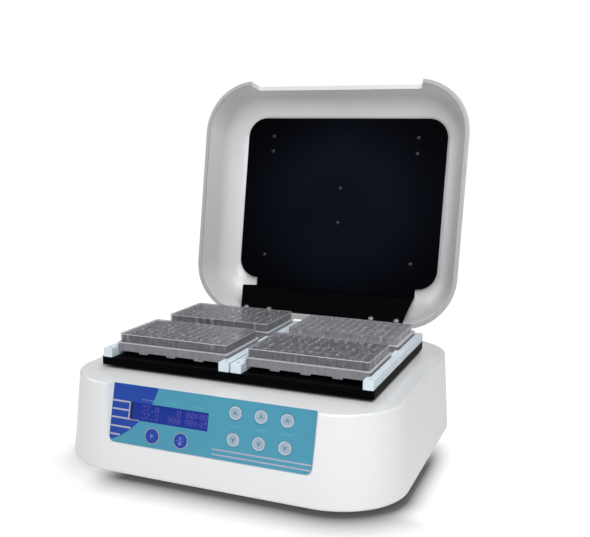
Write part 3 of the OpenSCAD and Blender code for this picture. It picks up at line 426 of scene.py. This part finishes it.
def white_lacquer(name):
    """Smooth white lacquer with a thin clear coat."""
    return moulded(name, *WHITE, 0.3, patch=4, grain=120, relief=0.0005, **WHITE_GLOSS)


def black_sheet(name, color, second):
    """Dull black anodised sheet."""
    return moulded(name, color, second, 0.5, patch=9, grain=1200, relief=0.01, **BLACK_SHINE)


def shader_and_color(material):
    """Shader of a finished material, and the socket that feeds its colour."""
    shader = material.node_tree.nodes["Principled BSDF"]
    return shader, shader.inputs["Base Color"].links[0].from_socket


def lid_white(name):
    """White lacquer with painted shade, a grey, on the band of the lid's rim: points whose distance along
    the way the rim faces is within the rim's depth of the farthest point."""
    material = white_lacquer(name)
    tree = material.node_tree
    shader, white = shader_and_color(material)
    mesh = frame["nodes"]["lid_shell"].data
    points = np.empty(len(mesh.vertices) * 3, np.float32)
    mesh.vertices.foreach_get("co", points)
    farthest = float(np.max(points.reshape(-1, 3) @ np.array(RIM_FACING, np.float32)))
    reach = vector_node(tree, "DOT_PRODUCT", object_place(tree), RIM_FACING)
    edge = math_node(tree, "GREATER_THAN", reach, farthest - RIM_DEPTH * MM)
    # Painted shade: the rim band is grey in place of white
    feed(tree, shader, {"Base Color": mix_colors(tree, edge, white, RIM_PAINTED_SHADE)})
    return material


def liner_black(name):
    """Black sheet with a faint painted blue sheen round its centre that fades to plain black with distance.
    """
    material = black_sheet(name, *LINER_SHEEN_MIDDLE)
    tree = material.node_tree
    shader, blue = shader_and_color(material)
    low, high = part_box("lid_inner_plate")
    off_centre = vector_node(tree, "SUBTRACT", object_place(tree), tuple((low + high) / 2))
    faded = ramp(tree, vector_node(tree, "LENGTH", off_centre), LINER_FADE)
    # Painted sheen: blue in the middle, fading to plain black away from it
    feed(tree, shader, {"Base Color": mix_colors(tree, faded, blue, LINER_EDGE)})
    return material


def wells_behind(tree, place):
    """Painted light and shade of wells behind clear walls: a noise drawn out upwards, plus the cosines of x
    and of y at the wells' pitch times their share, so that the walls show faint upright bars and the
    tops a mottle."""
    inputs = {"Vector": place, "Scale": STREAK_STRETCH}
    drawn_up = add_node(tree, "ShaderNodeMapping", inputs).outputs[0]
    pattern = noise_at(tree, drawn_up, STREAK_SCALE)
    for across in split(tree, place)[:2]:
        angle = math_node(tree, "MULTIPLY", across, 2 * math.pi / (WELL_PITCH * MM))
        wave = math_node(tree, "MULTIPLY", math_node(tree, "COSINE", angle), WELL_SHARE)
        pattern = math_node(tree, "ADD", pattern, wave)
    return pattern


def bright_rims(tree, height):
    """Mask of the painted rim highlights: 1 between the heights of the flange's and the cover's upper rims,
    and else 0.
    """
    rims = 0.0
    for low, high in RIM_HEIGHTS:
        above = math_node(tree, "GREATER_THAN", height, low * MM)
        below = math_node(tree, "LESS_THAN", height, high * MM)
        rims = math_node(tree, "MAXIMUM", rims, math_node(tree, "MULTIPLY", above, below))
    return rims


def clear_plastic(name, upper_tints, face_alpha):
    """Clear polystyrene as thin walls of it look: a milky skin with the painted light and shade of the wells
    behind, painted glints over the flange and painted highlights on the rims. Its cover is that of a face
    seen square on, plus a high power of how edge on it is seen times the rest, and at least that of a rim
    on the rims."""
    material, tree, shader = new_material(name)
    place = object_place(tree)
    height = split(tree, place)[2]
    over = math_node(tree, "GREATER_THAN", height, FLANGE_Z * MM)
    dark, light = (mix_colors(tree, over, *tints) for tints in zip(MILKY_UNDER, upper_tints))
    # Painted light and shade of the wells seen through, and painted glints over the flange
    wells = wells_behind(tree, place)
    glints = math_node(tree, "MULTIPLY", span(tree, wells, GLINT_SPAN), over)
    tint = mix_colors(tree, span(tree, wells, STREAK_SPAN), dark, light)
    tint = mix_colors(tree, glints, tint, PAINTED_HIGHLIGHT_COLOR)
    # Painted highlights along the flange's and the cover's rims
    rims = bright_rims(tree, height)
    edge_on = add_node(tree, "ShaderNodeLayerWeight", {"Blend": 0.5}).outputs["Facing"]
    power = math_node(tree, "POWER", edge_on, EDGE_ON_POWER)
    dense = math_node(tree, "MULTIPLY_ADD", power, 1 - face_alpha, face_alpha)
    pattern = add_node(tree, "ShaderNodeGroup", node_tree=SPECKLE)
    set_values(pattern, CLEAR_ROUGHNESS)
    feed(tree, shader, {
        "Base Color": mix_colors(tree, rims, tint, PAINTED_HIGHLIGHT_COLOR),
        "Roughness": pattern.outputs["Roughness"],
        "Alpha": math_node(tree, "MAXIMUM", dense, math_node(tree, "MULTIPLY", rims, RIM_ALPHA)),
    })
    set_values(shader, CLEAR_SHINE)
    return material


def display_glass(name):
    """Lit display window: a deep blue that glows faintly in its own colour."""
    material, tree, shader = new_material(name)
    pattern = add_node(tree, "ShaderNodeGroup", node_tree=SPECKLE)
    set_values(pattern, {
        "Color": (0.008, 0.028, 0.24),
        "Second Color": (0.016, 0.036, 0.28),
        "Patch Scale": 30,
        "Roughness": 0.25,
    })
    feed(tree, shader, {
        "Base Color": pattern.outputs["Color"],
        "Roughness": pattern.outputs["Roughness"],
        "Emission Color": pattern.outputs["Color"],
    })
    set_values(shader, {"Emission Strength": 0.05, "Specular IOR Level": 0.15})
    return material


# Finish of each material slot in the record
MATERIALS = {
    "housing_white": white_lacquer("housing_white"),
    "bottom_grey": moulded("bottom_grey", (0.52, 0.53, 0.54), (0.47, 0.48, 0.49), 0.45, relief=0.02),
    "foot_rubber": moulded("foot_rubber", (0.02, 0.02, 0.02), (0.03, 0.03, 0.03), 0.7, relief=0.05),
    "zinc_steel": brushed(
        "zinc_steel", (0.70, 0.71, 0.73), (0.56, 0.57, 0.59), 0.3, lines=2400, relief=0.001,
    ),
    "panel_print": printed("panel_print", (0.062, 0.29, 0.42), (0.070, 0.31, 0.44), 0.3, patch=12),
    "display_blue": display_glass("display_blue"),
    "module_black": moulded("module_black", (0.015, 0.015, 0.016), (0.02, 0.02, 0.022), 0.5),
    "board_green": moulded("board_green", (0.01, 0.09, 0.035), (0.015, 0.13, 0.05), 0.35, patch=120),
    "supply_metal": brushed("supply_metal", (0.66, 0.67, 0.68), (0.5, 0.5, 0.52), 0.35),
    "chassis_aluminium": brushed("chassis_aluminium", (0.75, 0.76, 0.77), (0.6, 0.6, 0.62), 0.35),
    "motor_metal": brushed("motor_metal", (0.25, 0.27, 0.3), (0.18, 0.2, 0.22), 0.4),
    "bearing_steel": brushed("bearing_steel", (0.62, 0.64, 0.67), (0.45, 0.46, 0.48), 0.2),
    "weight_iron": brushed("weight_iron", (0.16, 0.16, 0.17), (0.1, 0.1, 0.11), 0.5),
    "fitting_black": moulded(
        "fitting_black", (0.012, 0.012, 0.013), (0.018, 0.018, 0.02), 0.4, relief=0.02,
    ),
    "rocker_red": moulded("rocker_red", (0.45, 0.01, 0.008), (0.5, 0.02, 0.015), 0.3),
    "key_blue": moulded("key_blue", (0.012, 0.045, 0.33), (0.015, 0.055, 0.37), 0.35, patch=80),
    "key_silver": moulded("key_silver", (0.30, 0.385, 0.47), (0.35, 0.44, 0.53), 0.35, patch=120),
    "platform_black": black_sheet(
        "platform_black", (0.0006, 0.0006, 0.0008), (0.0014, 0.0015, 0.0024),
    ),
    "heater_film": moulded("heater_film", (0.25, 0.1, 0.03), (0.3, 0.13, 0.04), 0.45, patch=200),
    "insulation_foam": moulded(
        "insulation_foam", (0.5, 0.46, 0.33), (0.42, 0.38, 0.27), 0.9, grain=300, relief=0.3,
    ),
    "rail_blue_white": moulded(
        "rail_blue_white", (0.73, 0.82, 0.88), (0.68, 0.78, 0.85), 0.4, patch=40, grain=900,
    ),
    "sensor_brass": brushed("sensor_brass", (0.7, 0.5, 0.2), (0.55, 0.38, 0.14), 0.3),
    "clear_plate": clear_plastic("clear_plate", MILKY_WELLS, PLATE_ALPHA),
}

# Finishes of nodes that differ from the rest of their slot
CLEAR_COVER = clear_plastic("clear_cover", MILKY_COVER, COVER_ALPHA)
NODE_MATERIALS = {
    "lid_shell": lid_white("lid_white"),
    "lid_inner_plate": liner_black("liner_black"),
    "lid_plate_screws": brushed("screw_dull", (0.10, 0.10, 0.105), (0.07, 0.07, 0.075), 0.5, lines=600),
    "bracket_screws": brushed("screw_grey", (0.48, 0.46, 0.43), (0.36, 0.35, 0.33), 0.45, lines=600),
    "cover_front_left": CLEAR_COVER,
    "cover_front_right": CLEAR_COVER,
    "cover_rear_left": CLEAR_COVER,
}

# Inks of the panel, the keys and the display
PALE = printed("print_pale", (0.62, 0.66, 0.74), (0.68, 0.71, 0.78))
LINE = printed("print_line", (0.38, 0.38, 0.48), (0.43, 0.42, 0.52))
FAINT = printed("print_faint", (0.16, 0.42, 0.52), (0.20, 0.46, 0.56))
SIGN = printed("print_sign", (0.15, 0.20, 0.60), (0.19, 0.24, 0.64))
DEEP_BLUE = printed("print_deep_blue", (0.010, 0.05, 0.33), (0.014, 0.06, 0.37), 0.3, patch=30)
JET = moulded("print_jet", (0.004, 0.004, 0.006), (0.006, 0.006, 0.01), 0.35, patch=60)
MARK = moulded("print_mark", (0.10, 0.25, 0.33), (0.13, 0.28, 0.36), 0.4, patch=90)
FIGURE = moulded("display_figure", (0.085, 0.07, 0.31), (0.11, 0.085, 0.34), 0.4, patch=90)


def finish_nodes():
    """Gives every CAD node its own material or that of its slot in the record."""
    for row in frame["record"]["subparts"]:
        node = frame["nodes"][row["node"]]
        node.data.materials.clear()
        node.data.materials.append(NODE_MATERIALS.get(row["node"], MATERIALS[row["material_slot"]]))


# Stage


def footprint_distance(tree):
    """Distance of a floor point from the housing's rounded footprint: the length of what the folded
    point has beyond the straight sides, less the corner radius."""
    low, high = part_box("base_housing")
    corner_r = HOUSING_CORNER_R * MM
    middle = ((low.x + high.x) / 2, (low.y + high.y) / 2, 0)
    straight = ((high.x - low.x) / 2 - corner_r, (high.y - low.y) / 2 - corner_r, 0)
    off_centre = vector_node(tree, "SUBTRACT", object_place(tree), middle)
    folded = vector_node(tree, "ABSOLUTE", off_centre)
    beyond = vector_node(tree, "MAXIMUM", vector_node(tree, "SUBTRACT", folded, straight), (0, 0, 0))
    return math_node(tree, "SUBTRACT", vector_node(tree, "LENGTH", beyond), corner_r)


def shadow_share(tree):
    """Share of white left on the floor under the painted shadow: 1 - s (1 - t)^2, where t runs over the
    reach of the shadow beyond the footprint, wide in front and narrow at the side, and s fades it out to the
    back and the left."""
    x, y, _ = split(tree, object_place(tree))
    distance = footprint_distance(tree)
    in_front = ramp(tree, y, SHADOW_FRONT_Y)
    side = span(tree, distance, in_metres(SHADOW_SIDE))
    front = span(tree, distance, in_metres(SHADOW_FRONT))
    across = math_node(tree, "MULTIPLY", in_front, math_node(tree, "SUBTRACT", front, side))
    rest = math_node(tree, "SUBTRACT", 1.0, math_node(tree, "ADD", side, across))
    depth = math_node(tree, "MULTIPLY", rest, rest)
    from_back = ramp(tree, y, SHADOW_BACK_Y, 0.0, SHADOW_DEPTH)
    from_left = ramp(tree, x, SHADOW_LEFT_X, SHADOW_LEFT)
    strength = math_node(tree, "MULTIPLY", from_back, from_left)
    return math_node(tree, "SUBTRACT", 1.0, math_node(tree, "MULTIPLY", depth, strength))


def make_floor():
    """Square floor with a soft painted contact shadow round the housing that fades to plain white away
    from it. From below it is clear, so that the underside can be seen."""
    half = FLOOR_HALF * MM
    corners = [(-half, -half, 0), (half, -half, 0), (half, half, 0), (-half, half, 0)]
    mesh = bpy.data.meshes.new("floor")
    mesh.from_pydata(corners, [], [(0, 1, 2, 3)])
    floor = bpy.data.objects.new("floor", mesh)
    bpy.context.scene.collection.objects.link(floor)
    material, tree, shader = new_material("floor_white")
    seen = add_node(tree, "ShaderNodeLightPath").outputs["Is Camera Ray"]
    from_below = add_node(tree, "ShaderNodeNewGeometry").outputs["Backfacing"]
    # Painted shadow: the white that the camera sees is cut down round the housing
    feed(tree, shader, {
        "Emission Strength": math_node(tree, "MULTIPLY", shadow_share(tree), seen),
        "Base Color": mix_colors(tree, seen, (FLOOR_WHITE,) * 3, (FLOOR_SHADE,) * 3),
        "Alpha": math_node(tree, "SUBTRACT", 1.0, from_below),
    })
    set_values(shader, {"Roughness": 0.9, "Specular IOR Level": 0.0, "Emission Color": (1, 1, 1)})
    mesh.materials.append(material)


def make_world():
    """White world: plain white where it is seen or seen through, and a soft grey in mirrors and as light."""
    world = bpy.data.worlds.new("white")
    bpy.context.scene.world = world
    world.use_nodes = True
    tree = world.node_tree
    tree.nodes.clear()
    path = add_node(tree, "ShaderNodeLightPath").outputs
    seen = math_node(tree, "MAXIMUM", path["Is Camera Ray"], path["Is Transmission Ray"])
    mirrored = math_node(tree, "MULTIPLY", path["Is Glossy Ray"], MIRRORED)
    strength = math_node(tree, "MAXIMUM", math_node(tree, "MAXIMUM", seen, mirrored), AMBIENT)
    background = add_node(tree, "ShaderNodeBackground", {"Color": (1, 1, 1, 1), "Strength": strength})
    add_node(tree, "ShaderNodeOutputWorld", {"Surface": background.outputs[0]})


def make_lamps():
    """Square soft lamps aimed at the object: a surface that faces one gets the named level of white, from
    an energy of the level times the square of pi times the distance."""
    aim = (cad_box[0] + cad_box[1]) / 2
    for name, lamp in LAMPS.items():
        azimuth = math.radians(lamp["azimuth"])
        elevation = math.radians(lamp["elevation"])
        away = Vector((
            math.sin(azimuth) * math.cos(elevation),
            -math.cos(azimuth) * math.cos(elevation),
            math.sin(elevation),
        ))
        data = bpy.data.lights.new(name, "AREA")
        data.size = lamp["size"]
        data.energy = lamp["level"] * (math.pi * lamp["distance"]) ** 2
        light = bpy.data.objects.new(name, data)
        light.location = aim + away * lamp["distance"]
        light.rotation_mode = "QUATERNION"
        light.rotation_quaternion = away.to_track_quat("Z", "Y")
        bpy.context.scene.collection.objects.link(light)


# Mesh tools


def skin(rings, capped=True):
    """Points and faces of closed loops joined ring to ring by quads. The first and last loop are closed
    by flat ends, or else the last loop is joined to the first."""
    rings = np.asarray(rings, float)
    index = np.arange(rings.shape[0] * rings.shape[1]).reshape(rings.shape[:2])
    upper = index[1:] if capped else np.roll(index, -1, axis=0)
    lower = index[:-1] if capped else index
    quads = np.stack([lower, np.roll(lower, -1, axis=1), np.roll(upper, -1, axis=1), upper], axis=-1)
    faces = [quads.reshape(-1, 4)]
    if capped:
        faces.append(np.stack([index[0][::-1], index[-1]]))
    return rings.reshape(-1, 3), faces


def make_piece(name, parts, material, body):
    """One mesh object of several closed parts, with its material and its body."""
    points = np.concatenate([part_points for part_points, _ in parts])
    starts = np.cumsum([0] + [len(part_points) for part_points, _ in parts])
    faces = []
    for (_, part_faces), start in zip(parts, starts):
        for block in part_faces:
            faces += (block + start).tolist()
    mesh = bpy.data.meshes.new(name)
    mesh.from_pydata(points.tolist(), [], faces)
    mesh.validate()
    piece = bpy.data.objects.new(name, mesh)
    bpy.context.scene.collection.objects.link(piece)
    mesh.materials.append(material)
    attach(piece, body)


def panel_face():
    """Middle of the panel sheet's top edge on its printed face, in metres."""
    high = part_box("panel_overlay")[1]
    return np.array([0, high.y - SHEET_T * MM * math.cos(PANEL_LEAN), high.z])


FACE = panel_face()
UP_PANEL = np.array([0, math.sin(PANEL_LEAN), math.cos(PANEL_LEAN)])
OUT_OF_PANEL = np.array([0, -math.cos(PANEL_LEAN), math.sin(PANEL_LEAN)])
FULL_TURN = np.linspace(0, 2 * np.pi, 64, endpoint=False)


def on_panel(flat, out):
    """Flat points (x, d) on the panel, in metres: the face's top middle, plus x across, less d beyond the
    sheet's top edge times the way up the panel, plus out times the way out of it."""
    flat = np.asarray(flat, float) * MM
    across = flat[:, :1] * np.array([1, 0, 0])
    down = (flat[:, 1:] - SHEET_TOP_D * MM) * UP_PANEL
    return FACE + across - down + out * MM * OUT_OF_PANEL


def ink(outline, low=0.0, thick=INK_T):
    """Thin flat patch on the panel: the outline at its low face and again at its top face. An outline
    whose area comes out positive is turned round, so that all faces point outwards."""
    outline = np.asarray(outline, float)
    turn = np.roll(outline, -1, axis=0)
    area = np.sum(outline[:, 0] * turn[:, 1] - turn[:, 0] * outline[:, 1])
    if area > 0:
        outline = outline[::-1]
    return skin([on_panel(outline, low), on_panel(outline, low + thick)])


def bar(x0, x1, d0, d1, low=0.0, thick=INK_T):
    """Rectangular patch on the panel."""
    return ink([(x0, d0), (x1, d0), (x1, d1), (x0, d1)], low, thick)


def arc(x, d, r, turn):
    """Points of a circle on the panel: x + r cos t across and d - r sin t down, for the angles t."""
    return np.stack([x + r * np.cos(turn), d - r * np.sin(turn)], axis=1)


def ink_ring(x, d, r_in, r_out, low=0.0, thick=INK_T):
    """Flat ring: the outer and inner circles at its low and top faces, joined all round."""
    loops = [(r_in, low), (r_out, low), (r_out, low + thick), (r_in, low + thick)]
    return skin([on_panel(arc(x, d, r, FULL_TURN), out) for r, out in loops], capped=False)


# Panel print

# Dark field: the circle of its round edge, its gap to the sheet's edge, and where the circle starts
FIELD_CENTRE = (-134.9, -19.0)
FIELD_R = 81.9
FIELD_INSET = 0.3
FIELD_LOW_D = 56.0
FIELD_STEPS = 24
CORNER_TURN = np.radians(np.linspace(180, 225, 6))

# Stripes of the dark field: the first two end at the upright line by the display, the rest near the edge
STRIPE_D = (17.7, 25.8, 33.9, 42.5, 50.6)
STRIPE_T = 1.7
STRIPE_INSET = 0.5
STRIPE_GAP = 0.4
STRIPES_TO_UPRIGHT = 2
UPRIGHT_GAP = 2.2
UPRIGHT_T = 1.3

# Lines on the right, and rings round the round keys as far as they reach beyond the key
LINE_D = (49.5, 54.3)
LINE_T = 1.4
LINE_X = (6.5, 104.6)
KEY_RING = (0.4, 1.1)


def field_edge_x(d):
    """How far the dark field reaches to the right at d: the circle's centre plus the root of its squared
    radius less the squared height over the centre."""
    return FIELD_CENTRE[0] + np.sqrt(FIELD_R**2 - (d - FIELD_CENTRE[1]) ** 2)


def dark_field():
    """Outline of the dark field: the left edge and lower corner of the sheet, closed by the circle."""
    top = SHEET_TOP_D + FIELD_INSET
    corner = (-SHEET_HALF + SHEET_CORNER_R, SHEET_LOW_D - SHEET_CORNER_R)
    low_corner = arc(*corner, SHEET_CORNER_R - FIELD_INSET, CORNER_TURN)
    down = np.linspace(FIELD_LOW_D, top, FIELD_STEPS)
    edge = np.stack([field_edge_x(down), down], axis=1)
    return np.concatenate([[(-SHEET_HALF + FIELD_INSET, top)], low_corner, edge])


def make_panel_print():
    """Dark field with pale stripes and an upright line on the left, two pale lines on the right, and
    rings round the round keys."""
    make_piece("print_dark_field", [ink(dark_field())], DEEP_BLUE, "base")
    half = STRIPE_T / 2
    left = -SHEET_HALF + STRIPE_INSET
    upright = WINDOW[0] - UPRIGHT_GAP
    stripes = []
    for number, d in enumerate(STRIPE_D):
        end = upright if number < STRIPES_TO_UPRIGHT else field_edge_x(d + half) - STRIPE_GAP
        stripes.append(bar(left, end, d - half, d + half, INK_T))
    ends = STRIPE_D[0] - half, STRIPE_D[STRIPES_TO_UPRIGHT] - half
    stripes.append(bar(upright, upright + UPRIGHT_T, *ends, INK_T))
    make_piece("print_stripes", stripes, LINE, "base")
    lines = [bar(*LINE_X, d - LINE_T / 2, d + LINE_T / 2) for d in LINE_D]
    make_piece("print_lines", lines, LINE, "base")
    radii = [ROUND_KEY_R + beyond for beyond in KEY_RING]
    rings = [ink_ring(x, d, *radii) for x, d in ROUND_KEYS.values()]
    make_piece("print_key_rings", rings, LINE, "base")


# Signs about the middle of their key, and how far inside an arrow key's edge its pale rim lies
ARROW_SIGN = ((-2.7, 2.2), (0, -3.0), (2.7, 2.2), (0, 1.0))
START_SIGN = ((-1.3, -2.0), (2.2, 0), (-1.3, 2.0))
MODE_SIGN = ((-1.2, -4.0), (2.0, -2.4), (-1.2, -0.9))
MODE_BARS = ((-4.2, 4.2, -0.2, 0.3), (-1.5, 1.5, 1.2, 4.0))
ARROW_RIM = (0.7, 0.15)


def sign_on_key(outline, x, d, way=1):
    """Sign on a key's face about its middle, turned upside down where way is -1."""
    return ink(np.array(outline) * (1, way) + (x, d), KEY_RISE)


def make_key_marks():
    """Arrow heads and pale rims on the six arrow keys, a start triangle on one round key, and on the
    other a mode sign of a triangle and two bars."""
    radii = [ARROW_KEY_R - inside for inside in ARROW_RIM]
    for row, d in ARROW_KEY_D.items():
        way = 1 if row == "up" else -1
        for number, x in enumerate(ARROW_KEY_X, 1):
            body = f"{row}_button_{number}"
            head = sign_on_key(ARROW_SIGN, x, d, way)
            make_piece(f"mark_{row}_{number}", [head], MARK, body)
            rim = ink_ring(x, d, *radii, KEY_RISE)
            make_piece(f"rim_{row}_{number}", [rim], PALE, body)
    start = sign_on_key(START_SIGN, *ROUND_KEYS["start_button"])
    make_piece("mark_start", [start], SIGN, "start_button")
    x, d = ROUND_KEYS["mode_button"]
    parts = [sign_on_key(MODE_SIGN, x, d)]
    for x0, x1, d0, d1 in MODE_BARS:
        parts.append(bar(x + x0, x + x1, d + d0, d + d1, KEY_RISE))
    make_piece("mark_mode", parts, SIGN, "mode_button")


# Dot pattern of each figure, row by row from its top
DOT_FIGURES = {
    "0": "01110 10001 10011 10101 11001 10001 01110",
    "1": "00100 01100 00100 00100 00100 00100 01110",
    "2": "01110 10001 00001 00010 00100 01000 11111",
    "3": "11111 00010 00100 00010 00001 10001 01110",
    "4": "00010 00110 01010 10010 11111 00010 00010",
    "5": "11111 10000 11110 00001 00001 10001 01110",
    "7": "11111 00001 00010 00100 01000 01000 01000",
    "9": "01110 10001 10001 01111 00001 00010 01100",
    ".": "00000 00000 00000 00000 00000 01100 01100",
    ":": "00000 01100 01100 00000 01100 01100 00000",
}

# Display: its lines, their start in the window, their pitches and dots, and the bar at its left end
DISPLAY_LINES = ("  37.0    0 00:00", "  37.2  900 00:45")
LINES_START = (3, 1.9)
FIGURE_PITCH = 4.75
LINE_PITCH = 7.2
DOT_PITCH = 0.84
DOT = 0.7
DOT_T = 0.02
BAR_SPAN = (0.2, 2.4)
BAR_INSET = 0.3
BAR_T = 0.03

# Labels: how far down each row lies and where its columns are, and their dots and dashes
LABEL_ROWS = ((25.5, ARROW_KEY_X), (13.5, (-66, -40, -12)))
LABEL_START = (-0.9, -1.3)
LABEL_PITCH = 0.36
LABEL_DOT = 0.37
DASH_OFF = 4
DASH_HALF = 2
DASH_HALF_T = 0.25


def lit_dots(figure):
    """Column and row of each dot that a figure lights, row by row."""
    rows = DOT_FIGURES.get(figure, "").split()
    return [(u, v) for v, bits in enumerate(rows) for u, bit in enumerate(bits) if bit == "1"]


def make_display():
    """Two lines of dot figures on the display window, and the black bar at its left end."""
    left, _, top, low = WINDOW
    dots = []
    for row, text in enumerate(DISPLAY_LINES):
        for column, figure in enumerate(text):
            for u, v in lit_dots(figure):
                x = left + LINES_START[0] + column * FIGURE_PITCH + u * DOT_PITCH
                d = top + LINES_START[1] + row * LINE_PITCH + v * DOT_PITCH
                dots.append(bar(x, x + DOT, d, d + DOT, WINDOW_RISE, DOT_T))
    make_piece("display_figures", dots, FIGURE, "base")
    x0, x1 = (left + beyond for beyond in BAR_SPAN)
    end_bar = bar(x0, x1, top + BAR_INSET, low - BAR_INSET, WINDOW_RISE, BAR_T)
    make_piece("display_bar", [end_bar], JET, "base")


def make_labels():
    """Plain column numbers over the display and between the arrow keys, each between two short dashes."""
    parts = []
    for d, columns in LABEL_ROWS:
        for number, x in enumerate(columns, 1):
            for u, v in lit_dots(str(number)):
                left = x + LABEL_START[0] + u * LABEL_PITCH
                top = d + LABEL_START[1] + v * LABEL_PITCH
                parts.append(bar(left, left + LABEL_DOT, top, top + LABEL_DOT, INK_T))
            for side in (-1, 1):
                middle = x + side * DASH_OFF
                ends = middle - DASH_HALF, middle + DASH_HALF
                parts.append(bar(*ends, d - DASH_HALF_T, d + DASH_HALF_T, INK_T))
    make_piece("print_labels", parts, FAINT, "base")


make_camera()
make_floor()
make_world()
make_lamps()
finish_nodes()
make_panel_print()
make_key_marks()
make_display()
make_labels()

bpy.context.scene.view_settings.view_transform = "Standard"
